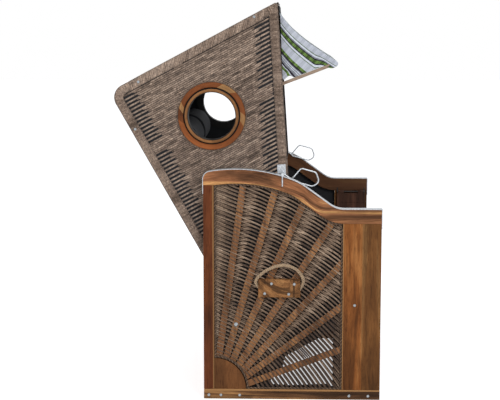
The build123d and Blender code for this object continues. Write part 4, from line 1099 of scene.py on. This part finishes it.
def stuffed_roll(length, radius):
    """A bolster on Z = 0 with its length along Y and rounded ends"""
    shape = bmesh.new()
    bmesh.ops.create_cone(shape, cap_ends=True, segments=40, radius1=radius, radius2=radius, depth=length)
    rims = [edge for edge in shape.edges if len({round(vert.co.z, 5) for vert in edge.verts}) == 1]
    bmesh.ops.bevel(shape, geom=rims, offset=radius * 0.16, segments=3, profile=0.5, affect="EDGES",
                    material=-1)
    bmesh.ops.rotate(shape, verts=shape.verts, matrix=Matrix.Rotation(pi / 2, 3, "X"))
    bmesh.ops.translate(shape, verts=shape.verts, vec=(0, 0, radius))
    return finished(shape, "stuffing")


def swell(mesh, cap):
    """Fills a form as a cloth bag under pressure, no point moving further than cap, and smooths it once"""
    even = with_modifier(mesh, "REMESH", mode="VOXEL", voxel_size=FILL_VOXEL)
    scene = bpy.context.scene
    bag = link_object("bag", even)
    cloth = bag.modifiers.new("filling", "CLOTH")
    cloth.settings.quality = 4
    cloth.settings.use_pressure = True
    cloth.settings.uniform_pressure_force = FILL_PRESSURE
    cloth.settings.effector_weights.gravity = 0.0
    cloth.point_cache.frame_start = 1
    cloth.point_cache.frame_end = FILL_STEPS
    for number in range(1, FILL_STEPS + 1):
        scene.frame_set(number)
    rest = vertex_places(even)
    moved = vertex_places(bag.evaluated_get(bpy.context.evaluated_depsgraph_get()).data) - rest
    moved *= np.minimum(1.0, cap / np.maximum(np.linalg.norm(moved, axis=1), 1e-9))[:, None]
    bag.modifiers.clear()
    move_vertices(even, rest + moved)
    bpy.data.objects.remove(bag)
    scene.frame_set(1)
    return with_modifier(even, "SUBSURF", levels=1, render_levels=1)


def chart_cloth(mesh, flat):
    """A UV map in metres from one pair of numbers for each vertex"""
    corners = np.empty(len(mesh.loops), int)
    mesh.loops.foreach_get("vertex_index", corners)
    mesh.uv_layers.new(name="UVMap").data.foreach_set("uv", flat[corners].astype("f").ravel())


def piping_mesh(rings):
    """Round cords along closed rings, as one mesh"""
    curve = new_curve("piping", bevel_depth=PIPING_RADIUS, bevel_resolution=1)
    for ring in rings:
        lay_line(curve, ring, closed=True)
    return curve_mesh(curve)


def laid_ring(mesh, ring, axis, level):
    """A closed path laid on the nearest places of a stuffed form, smoothed and kept in one plane"""
    tree = BVHTree.FromPolygons([vertex.co for vertex in mesh.vertices],
                                [polygon.vertices for polygon in mesh.polygons])
    laid = np.array([tree.find_nearest(Vector(spot))[0] for spot in ring])
    for _ in range(4):
        laid = (np.roll(laid, 1, 0) + 2 * laid + np.roll(laid, -1, 0)) / 4
    laid[:, axis] = level
    return laid


# --- Operators ---

class CHAIR_OT_stage(bpy.types.Operator):
    """Camera at the photograph's angle, plain floor, soft lamps and a white surround"""
    bl_idname = "beach_chair.stage"
    bl_label = "Stage"

    def execute(self, context):
        scene = context.scene
        scene.view_settings.view_transform = "Standard"
        lens = bpy.data.cameras.new("camera")
        lens.lens = CAMERA_LENS
        lens.sensor_width = CAMERA_FILM
        scene.camera = link_object("camera", lens)
        scene.camera.location = CAMERA_PLACE
        scene.camera.rotation_euler = (radians(90 - CAMERA_LEAN), 0, radians(CAMERA_TURN))
        self.lay_floor()
        self.surround(scene)
        for name, place, strength, size in LAMPS:
            lamp = bpy.data.lights.new(name, "AREA")
            lamp.energy = strength
            lamp.size = size
            holder = link_object(name, lamp)
            holder.location = place
            holder.rotation_euler = (LAMP_AIM - Vector(place)).to_track_quat("-Z", "Y").to_euler()
        return {"FINISHED"}

    def lay_floor(self):
        """A pale floor that glows a little where it is seen directly"""
        shape = bmesh.new()
        bmesh.ops.create_grid(shape, x_segments=2, y_segments=2, size=30)
        floor = link_object("floor", finished(shape, "floor"))
        recipe = Recipe("pale_floor")
        speckle = recipe.plain_noise(40.0, 2.0)
        floor.data.materials.append(recipe.finish(recipe.grey_ramp(speckle, 0.3, 0.7, 0.80, 0.82), 0.9))
        plain = recipe.shader.outputs[0]
        glow = recipe.fill(recipe.node("ShaderNodeEmission"), {"Strength": 0.60}).outputs[0]
        lit = recipe.fill(recipe.node("ShaderNodeAddShader"), {0: plain, 1: glow}).outputs[0]
        recipe.choose(recipe.seen_directly(), plain, lit, "Material Output")

    def surround(self, scene):
        """A white world where it is seen directly, and dimmer as a light"""
        scene.world = bpy.data.worlds.new("white_surround")
        scene.world.use_nodes = True
        sky = Nodes(scene.world.node_tree)
        dim = sky.fill(sky.tree.nodes["Background"], {"Color": (0.93, 0.95, 1.0), "Strength": 0.62})
        white = sky.fill(sky.node("ShaderNodeBackground"), {"Color": WHITE, "Strength": 1.0})
        sky.choose(sky.seen_directly(), dim.outputs[0], white.outputs[0], "World Output")


class CHAIR_OT_ropes(bpy.types.Operator):
    """Three-strand rope loops that come out of the carrying blocks"""
    bl_idname = "beach_chair.ropes"
    bl_label = "Rope handles"

    def execute(self, context):
        look = sizes()
        strand = look.rope_diameter * ROPE_STRAND
        for side, sense in SIDES:
            route = new_curve("rope_route", resolution_u=12)
            spline = route.splines.new("NURBS")
            spline.points.add(len(ROPE_ROUTE) - 1)
            for point, (x, z) in zip(spline.points, ROPE_ROUTE):
                point.co = (x + REAR_X, sense * ROPE_Y, z, 1)
            spline.order_u = 3
            spline.use_endpoint_u = True
            path = vertex_places(curve_mesh(route))
            spots, ahead = even_steps(path, ROPE_STEP, closed=False)
            out = np.array([0.0, sense, 0.0])
            across = np.cross(ahead, out)
            across /= np.linalg.norm(across, axis=1)[:, None]
            twist = np.arange(len(spots)) * ROPE_STEP / ROPE_TWIST * 2 * pi
            curve = new_curve("rope_strands", bevel_depth=strand, bevel_resolution=2, use_fill_caps=True)
            for start in (0, 2 * pi / 3, 4 * pi / 3):
                angle = (twist + start)[:, None]
                lay_line(curve, spots + strand * ROPE_ORBIT * (np.cos(angle) * across + np.sin(angle) * out))
            rope = new_piece(f"carrying_rope_{side}", curve_mesh(curve), "rope", "basket")
            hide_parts(f"rope_handle_{side}")
        return {"FINISHED"}


class CHAIR_OT_timber(bpy.types.Operator):
    """Grain, tone and worn edges for every board"""
    bl_idname = "beach_chair.timber"
    bl_label = "Timber"

    def execute(self, context):
        wear = sizes().edge_wear
        paired = (("top_rail", "rail", wear), ("rear_stile", "rear_stile", wear),
                  ("front_stile", "front_stile", wear), ("skid", "sill", wear), ("sun_disc", "disc", wear / 2),
                  ("sun_rays", "ray", wear / 2), ("handle_block", "block", wear / 2),
                  ("footrest_board", "board", wear / 2), ("footrest_front", "board", wear / 2),
                  ("side_table", "table", wear / 2), ("porthole_ring", "ring", 0.0))
        for side, sense in SIDES:
            for name, look, edge in paired:
                finish_node(f"{name}_{side}", look, edge)
            self.lip(side, sense)
        for name in ("seat_board", "seat_apron", "cross_rails", "rear_panel", "footrest_runners",
                     "pivot_posts"):
            finish_node(name, "board", wear / 2)
        finish_node("awning_bow", "bow", wear / 3)
        finish_node("porthole_sleeves", "sleeve")
        return {"FINISHED"}

    def lip(self, side, sense):
        """The half-round bead turned on a porthole sleeve's outer end"""
        shape = bmesh.new()
        profile = [shape.verts.new((LIP_RADIUS + 0.0062 * cos(a), 0, 0.0034 * sin(a)))
                   for a in np.linspace(pi, 0, 7)]
        for start, end in zip(profile, profile[1:] + profile[:1]):
            shape.edges.new((start, end))
        bmesh.ops.spin(shape, geom=shape.verts[:] + shape.edges[:], cent=(0, 0, 0), axis=(0, 0, 1), steps=72,
                       angle=2 * pi, use_merge=True)
        bmesh.ops.remove_doubles(shape, verts=shape.verts, dist=0.00001)
        place = HOOD_PLACE @ side_plane(sense) @ Matrix.Translation((*PORTHOLE, LIP_Y))
        bmesh.ops.transform(shape, matrix=place, verts=shape.verts)
        bmesh.ops.recalc_face_normals(shape, faces=shape.faces)
        new_piece(f"porthole_lip_{side}", finished(shape, "lip"), "lip", "hood")


class CHAIR_OT_metalwork(bpy.types.Operator):
    """Galvanised strips, bolts, plates and bails"""
    bl_idname = "beach_chair.metalwork"
    bl_label = "Metalwork"

    def execute(self, context):
        for look, names in (("metal", ("rail_strips", "latch_plates", "latch_bail_left", "latch_bail_right")),
                            ("iron", ("table_hinges",)),
                            ("zinc", ("pivot_bolts", "frame_bolts", "hood_screws"))):
            for name in names:
                finish_node(name, look)
        return {"FINISHED"}


class CHAIR_OT_side_weave(bpy.types.Operator):
    """Strands woven across the sun's rays, and the braid round their opening"""
    bl_idname = "beach_chair.side_weave"
    bl_label = "Side weave"

    def execute(self, context):
        look = sizes()
        runs = side_strands()
        border, front, disc = opening_edges()
        trim = braid_runs(border, SIDE_BRAID_Y) + braid_runs(front, SIDE_BRAID_Y)
        trim += braid_runs(disc, SIDE_BRAID_Y + 0.0005)
        for side, sense in SIDES:
            mesh = strand_mesh("side_weave", runs, look.side_width, look.strand_thickness, side_plane(sense))
            weave = new_piece(f"woven_side_{side}", mesh, "side_cane", "basket")
            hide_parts(f"side_weave_{side}")
            mesh = strand_mesh("side_braid", trim, 0.0050, 0.0030, side_plane(sense))
            new_piece(f"side_braid_{side}", mesh, "side_cane", "basket")
        return {"FINISHED"}


class CHAIR_OT_hood_weave(bpy.types.Operator):
    """The hood's woven sides, back and roof, with wrapped borders and the braid round the portholes"""
    bl_idname = "beach_chair.hood_weave"
    bl_label = "Hood weave"

    def execute(self, context):
        look = sizes()
        kinds = (("woven_hood_side", hood_line_runs(21), look.hood_width, look.strand_thickness, "cane"),
                 ("wrapped_hood_border", wrap_runs(22), look.wrap_pitch * 0.92, 0.0018, "wrap"),
                 ("porthole_braid", ring_runs(PORTHOLE_BRAID, 0.5276, 0.0075, 0.013), 0.0044, 0.0024, "cane"))
        for side, sense in SIDES:
            for name, runs, width, thickness, finish in kinds:
                mesh = strand_mesh(name, runs, width, thickness, HOOD_PLACE @ side_plane(sense))
                new_piece(f"{name}_{side}", mesh, finish, "hood")
            finish_node(f"hood_side_{side}", "lining")
        self.weave_shell(look)
        return {"FINISHED"}

    def weave_shell(self, look):
        """Strands from side to side over the back and the roof, round the rear corner, on a dark core"""
        source = np.random.default_rng(31)
        below = (0.5, -0.5)
        path = rounded_path([below, (HOOD_REAR, 0.072), HOOD_REAR_TOP, HOOD_BROW],
                            [0, 0, HOOD_CORNER_RADIUS, 0], 0.004)[1:]
        spots, ahead = even_steps(path, look.hood_pitch, closed=False)
        out = np.stack([-ahead[:, 1], ahead[:, 0]], 1)
        ys = np.arange(-HOOD_INNER_Y, HOOD_INNER_Y + 0.0001, 0.0090)
        drift = drifting(source, len(spots) + 12)
        halves = {"back": [], "roof": []}
        for number, (spot, side) in enumerate(zip(spots, out)):
            lift, tone = over_and_under(ys + 0.6, number, source, 2 * look.stake_pitch)
            rise = -0.0012 - 0.0010 * (1 - lift)
            tone = np.clip(tone + 1.2 * (drift[number] - 0.5) + source.normal(0, 0.07), 0.0, 1.0)
            points = np.column_stack([spot[0] + side[0] * rise, ys, spot[1] + side[1] * rise])
            halves["back" if abs(side[0]) > 0.7 else "roof"].append((points, tone))
        rear, top = HOOD_REAR + SHELL_INSET, HOOD_REAR_TOP[1] - SHELL_INSET
        brow = (HOOD_BROW[0] - 0.006, HOOD_BROW[1] - SHELL_INSET)
        middle = rounded_path([below, (rear, 0.0715), (rear, top), brow],
                              [0, 0, HOOD_CORNER_RADIUS - SHELL_INSET, 0], 0.006)[1:]
        split = HOOD_REAR + HOOD_CORNER_RADIUS
        meeting = [(split, top - 0.0012)]
        behind = middle[:, 0] < split
        self.shell("back", Matrix(((0, 0, -1, 0), (1, 0, 0, 0), (0, -1, 0, 0), (0, 0, 0, 1))), halves["back"],
                   np.vstack([middle[behind], meeting]), look)
        self.shell("roof", Matrix.Identity(4), halves["roof"], np.vstack([meeting, middle[~behind]]), look)

    def shell(self, name, plane, runs, core, look):
        """The strands of the back or the roof, and the core behind them"""
        turn = np.array(plane.inverted().to_3x3()).T
        mesh = strand_mesh("shell", [(points @ turn, tone) for points, tone in runs], look.hood_width,
                           look.strand_thickness, HOOD_PLACE @ plane)
        new_piece(f"woven_hood_{name}", mesh, "cane", "hood")

        def place(a, b):
            n, u = core[int(round(a * (len(core) - 1)))]
            return HOOD_PLACE @ Vector((n, (2 * b - 1) * HOOD_INNER_Y, u)), (a, b)

        shape = bmesh.new()
        lay_grid(shape, len(core) - 1, 8, place)
        piece = new_piece(f"hood_{name}_core", cloth_mesh(shape, 0.012), "lining", "hood", False)
        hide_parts(f"hood_{name}")


class CHAIR_OT_linings(bpy.types.Operator):
    """Dark cloth stretched inside the basket's sides and inside the hood"""
    bl_idname = "beach_chair.linings"
    bl_label = "Linings"

    def execute(self, context):
        for side, sense in SIDES:
            shape = bmesh.new()
            lay_grid(shape, 71, 60, lambda a, b: self.basket_side(a, b, sense))
            cut_faces(shape, lambda x, z: (LINING_STOP_X < x < REAR_X + 0.572
                                           and LINING_FLOOR < z < self.lower_edge(x)))
            self.hang(f"basket_lining_{side}", shape, "basket", "side_linings", (0.569, 0.927))
            shape = bmesh.new()
            lay_grid(shape, 84, 110, lambda a, b: self.hood_side(a, b, sense))
            cut_faces(shape, lambda x, z: hypot(x - PORTHOLE_X, z - PORTHOLE_Z) < 0.119)
            self.hang(f"hood_side_lining_{side}", shape, "hood", "hood_linings", (0.756, 0.985))
        shape = bmesh.new()
        lay_grid(shape, 40, 50, self.hood_roof)
        self.hang("hood_roof_lining", shape, "hood", "hood_linings", (0.720, 0.967))
        return {"FINISHED"}

    def hang(self, name, shape, body, node, flat):
        mesh = cloth_mesh(shape, 0.0010)
        piece = new_piece(name, mesh, "lining", body)
        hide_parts(node)

    def lower_edge(self, x):
        """Where the lining stops in front: along the last ray, then below the sixth"""
        sixth, last = (start[1] + (x - start[0]) * ahead[1] / ahead[0] for start, ahead in ray_lines()[5:7])
        sixth -= 0.052 + 0.20 * (x - REAR_X - 0.412)
        return last + (sixth - last) * float(smooth_step(x, REAR_X + 0.348, REAR_X + 0.362))

    def basket_side(self, a, b, sense):
        x = SUN_X + 0.0008 + a * (FRONT_STILE_X - SUN_X - 0.0016)
        if abs(x - LINING_STOP_X) < 0.0041:
            x = LINING_STOP_X
        top = rail_underside(x) - 0.0008
        low, high = LINING_CUT
        split = min(max(self.lower_edge(x), low), high) if x > LINING_STOP_X - 0.0001 else low
        if b <= 0.4:
            z = LINING_FOOT + (split - LINING_FOOT) * b / 0.4
        else:
            z = split + (top - split) * (b - 0.4) / 0.6
        post = float((1 - smooth_step(abs(x - PIVOT_X), 0.052, 0.075)) * (1 - smooth_step(z, 0.435, 0.460)))
        depth = LINING_Y + 0.0022 * post + 0.0004 * sin(31 * x + 9 * z)
        return (x, sense * depth, z), (x, z)

    def hood_side(self, a, b, sense):
        inset = 0.040
        level = 0.151 + b * (HOOD_REAR_TOP[1] - inset - 0.152)
        n = HOOD_REAR + inset + a * (min(hood_edges(level, inset)) - HOOD_REAR - inset)
        u = level - 0.024 * (n - HOOD_REAR - inset) * b
        depth = HOOD_LINING_Y + 0.0005 * sin(27 * n + 11 * u)
        return HOOD_PLACE @ Vector((n, sense * depth, u)), (n, u)

    def hood_roof(self, a, b):
        n, y = 0.096 + a * 0.717, (2 * b - 1) * ROOF_LINING_HALF
        u = HOOD_REAR_TOP[1] - 0.018 - 0.024 * (n - HOOD_REAR) - 0.0032 - 0.0012 * sin(pi * b) * sin(pi * a)
        return HOOD_PLACE @ Vector((n, y, u)), (n, y)


def standing(n, u):
    """A cushion's frame in the hood, with its length upwards and its top to the front"""
    return HOOD_PLACE @ Matrix(((0, 0, 1, n), (0, 1, 0, CUSHION_Y), (1, 0, 0, u), (0, 0, 0, 1)))


# Name, body, size, crown, greatest swelling, sewn channels and place of each flat cushion
CUSHIONS = (
    ("seat_cushion", "basket", (0.553, 0.475, 0.079), 0.014, 0.026, (),
     Matrix.Translation((0.2833, CUSHION_Y, 0.4033))),
    ("footrest_pad", None, (0.421, 0.519, 0.058), 0.010, 0.022, (),
     Matrix.Translation((0.3483, 0.2685, 0.3183))),
    ("back_cushion", "hood", (0.940, 0.475, 0.050), 0.008, 0.024, (-0.282, -0.094, 0.094, 0.282),
     standing(0.0373, 0.620)),
)


class CHAIR_OT_cushions(bpy.types.Operator):
    """Checked cushions with dark sides and piping"""
    bl_idname = "beach_chair.cushions"
    bl_label = "Cushions"

    def execute(self, context):
        for name, body, size, crown, cap, channels, place in CUSHIONS:
            self.both(name, *self.pad(size, crown, cap, channels), "cushion", body, place)
        self.both("neck_roll", *self.bolster(ROLL_LENGTH, ROLL_RADIUS), "charcoal", "hood",
                  standing(0.0855, 0.829))
        return {"FINISHED"}

    def pad(self, size, crown, cap, channels):
        """A box cushion with piping round its top and bottom and sewn channels across it"""
        length, width, thickness = size
        mesh = swell(stuffed_block(length * STUFFING, width * STUFFING, thickness * 0.88, crown, 0.02), cap)
        spots = vertex_places(mesh)
        spots[:, 2] -= spots[:, 2].min()
        spots[:, 2] *= (thickness + 0.004) / spots[:, 2].max()
        limits = np.array([length / 2 + 0.001, width / 2 + 0.001])
        spots[:, :2] = np.clip(spots[:, :2], -limits, limits)
        upper = smooth_step(spots[:, 2], thickness * 0.4, thickness * 0.7)
        inside = 1 - smooth_step(np.abs(spots[:, 1]), width / 2 - 0.05, width / 2 - 0.012)
        for channel in channels:
            sewn = np.exp(-((spots[:, 0] - channel) / CHANNEL_HALF) ** 2)
            spots[:, 2] -= CHANNEL_DEPTH * upper * inside * sewn
        edge = np.maximum(np.abs(spots[:, 0]) / (length / 2), np.abs(spots[:, 1]) / (width / 2))
        levels = [share * thickness for share in PIPING_LEVELS]
        for level in levels:
            near = np.exp(-((spots[:, 2] - level) / 0.004) ** 2) * (edge > 0.90)
            spots[:, :2] *= (1 - 0.0030 * near / (width / 2))[:, None]
        move_vertices(mesh, spots)
        chart_cloth(mesh, spots[:, [1, 0]])
        set_values(mesh, "panel", spots[:, 2] - levels[1])
        around = np.linspace(0, 2 * pi, 180, endpoint=False)
        squared = np.stack([np.cos(around), np.sin(around)], 1)
        squared /= np.max(np.abs(squared), axis=1)[:, None]
        ring = squared * (length * 0.52, width * 0.52)
        return mesh, [laid_ring(mesh, np.column_stack([ring, np.full(len(ring), level)]), 2, level)
                      for level in levels]

    def bolster(self, length, radius):
        """A round neck roll with piping round both ends"""
        mesh = swell(stuffed_roll(length * STUFFING, radius * 0.95), 0.012)
        spots = vertex_places(mesh)
        spots[:, 2] += 0.004
        across = np.stack([spots[:, 0], spots[:, 2] - radius], 1)
        reach = np.linalg.norm(across, axis=1)
        across *= np.minimum(1.0, radius / np.maximum(reach, 1e-9))[:, None]
        spots[:, 0], spots[:, 2] = across[:, 0], across[:, 1] + radius
        move_vertices(mesh, spots)
        turn = np.arctan2(across[:, 1], -across[:, 0])
        chart_cloth(mesh, np.column_stack([spots[:, 1], turn * radius]))
        end = length / 2 - radius * 0.13
        set_values(mesh, "panel", end - np.abs(spots[:, 1]))
        around = np.linspace(0, 2 * pi, 90, endpoint=False)
        xs, zs = 1.2 * radius * np.cos(around), radius + 1.2 * radius * np.sin(around)
        return mesh, [laid_ring(mesh, np.column_stack([xs, np.full(len(xs), y), zs]), 1, y)
                      for y in (-end, end)]

    def both(self, name, mesh, rings, look, body, place):
        """Places a cushion and its piping on the left, and mirrored on the right"""
        for side, sense in SIDES:
            carrier = body or f"footrest_{side}"

            def put(title, finish, shape):
                copy = shape.copy()
                copy.transform(Matrix.Diagonal((1, sense, 1, 1)) @ place)
                if sense < 0:
                    copy.flip_normals()
                return new_piece(title, copy, finish, carrier)

            piece = put(f"{name}_{side}_cloth", look, mesh)
            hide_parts(f"{name}_{side}")
            put(f"{name}_piping_{side}", "piping", piping_mesh(rings))


class CHAIR_OT_awning(bpy.types.Operator):
    """The checked cloth from the hood's brow over the bow's bar, with its two side pieces"""
    bl_idname = "beach_chair.awning"
    bl_label = "Awning"

    def execute(self, context):
        top = smooth_line(AWNING_TOP, 73)
        start = int(np.argmin(np.linalg.norm(top - AWNING_BROW, axis=1)))
        foot = smooth_line(AWNING_FOOT, len(top) - start)
        self.edge = self.world(top)
        self.brow = self.edge[start]
        shape = bmesh.new()
        lay_grid(shape, 90, len(top) - 1, lambda s, t: self.over(top, s, t))
        for sense in (1, -1):
            lay_grid(shape, 36, len(top) - 1 - start, lambda s, t: self.beside(top[start:], foot, s, t, sense))
        mesh = cloth_mesh(shape, 0.0014)
        cloth = new_piece("awning_canopy", mesh, "plaid", None)
        start_place, end_place = self.world(np.array([(0.775, 0.965), (0.905, 0.903)]))
        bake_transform(cloth)
        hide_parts("awning_cloth")
        return {"FINISHED"}

    def world(self, points):
        lean = radians(HOOD_LEAN)
        return np.column_stack([PIVOT_X + points[:, 0] * cos(lean) + points[:, 1] * sin(lean),
                                PIVOT_Z - points[:, 0] * sin(lean) + points[:, 1] * cos(lean)])

    def along(self, x, z):
        """Distance down the cloth's slope from the brow"""
        return (x - self.brow[0]) * AWNING_SLOPE[0] - (z - self.brow[1]) * AWNING_SLOPE[1]

    def over(self, top, s, t):
        """The sheet across the chair"""
        n, u = top[int(round(t * (len(top) - 1)))]
        y = (2 * s - 1) * AWNING_SIDE
        across = 1 - (y / AWNING_SIDE) ** 2
        hang = 0.007 * across * sin(pi * min(1.0, max(0.0, (1.075 - u) / 0.25)))
        ripple = (0.0016 * sin(61 * y + 9 * u) + 0.0011 * sin(143 * y - 31 * u)) * sin(pi * t) * across
        x, z = self.world(np.array([(n - hang + ripple * 0.8, u - hang * 0.4 + ripple * 0.4)]))[0]
        return (x, y, z), (-(AWNING_SIDE + y), self.along(x, z))

    def beside(self, top, foot, s, t, sense):
        """A side piece, from the top's edge down to the bow's slat, gathered at both ends"""
        row = int(round(t * (len(top) - 1)))
        x, z = self.world((top[row] + (foot[row] - top[row]) * s)[None])[0]
        slope_x, slope_z = self.edge[np.argsort(self.edge[:, 0])].T
        fall = max(0.0, float(np.interp(x, slope_x, slope_z)) - z) * 0.745
        fall *= 1 + 0.5 * float(smooth_step(x, 0.285, 0.340))
        heart = sin(pi * min(1.0, s * 1.02)) * sin(pi * min(1.0, t * 1.05))
        crumple = float(smooth_step(s, 0.72, 1.0)) * float(1 - smooth_step(t, 0.10, 0.42))
        fold = 0.0042 * sin(46 * fall + 2.2 * t) * heart + 0.0050 * sin(260 * fall + 60 * t) * crumple
        reach = float(smooth_step(s, 0.0, 0.9)) * float(1 - smooth_step(t, 0.80, 0.93))
        depth = AWNING_SIDE - 0.0035 * reach - 0.004 * heart + fold
        fall += 0.003 * crumple * sin(30 * s)
        across = fall if sense < 0 else -2 * AWNING_SIDE - fall
        return (x, sense * depth, z), (across, self.along(x, z))


class CHAIR_PT_panel(bpy.types.Panel):
    """The steps of the hooded beach chair"""
    bl_idname = "CHAIR_PT_panel"
    bl_label = "Hooded beach chair"
    bl_space_type = "VIEW_3D"
    bl_region_type = "UI"
    bl_category = "Beach chair"

    def draw(self, context):
        for operator in OPERATORS:
            self.layout.operator(operator.bl_idname)


OPERATORS = (CHAIR_OT_stage, CHAIR_OT_ropes, CHAIR_OT_timber, CHAIR_OT_metalwork, CHAIR_OT_side_weave,
             CHAIR_OT_hood_weave, CHAIR_OT_linings, CHAIR_OT_cushions, CHAIR_OT_awning)
CLASSES = (ChairSizes, ChairColours, *OPERATORS, CHAIR_PT_panel)


def register():
    for entry in CLASSES:
        bpy.utils.register_class(entry)
    bpy.types.Scene.beach_chair_sizes = bpy.props.PointerProperty(type=ChairSizes)
    bpy.types.Scene.beach_chair_colours = bpy.props.PointerProperty(type=ChairColours)


def unregister():
    del bpy.types.Scene.beach_chair_colours
    del bpy.types.Scene.beach_chair_sizes
    for entry in reversed(CLASSES):
        bpy.utils.unregister_class(entry)


def main():
    """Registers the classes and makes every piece"""
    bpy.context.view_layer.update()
    register()
    make_looks()
    bpy.ops.beach_chair.stage()
    bpy.ops.beach_chair.ropes()
    bpy.ops.beach_chair.timber()
    bpy.ops.beach_chair.metalwork()
    bpy.ops.beach_chair.side_weave()
    bpy.ops.beach_chair.hood_weave()
    bpy.ops.beach_chair.linings()
    bpy.ops.beach_chair.cushions()
    bpy.ops.beach_chair.awning()
    bpy.context.view_layer.update()


if __name__ == "__main__":
    main()
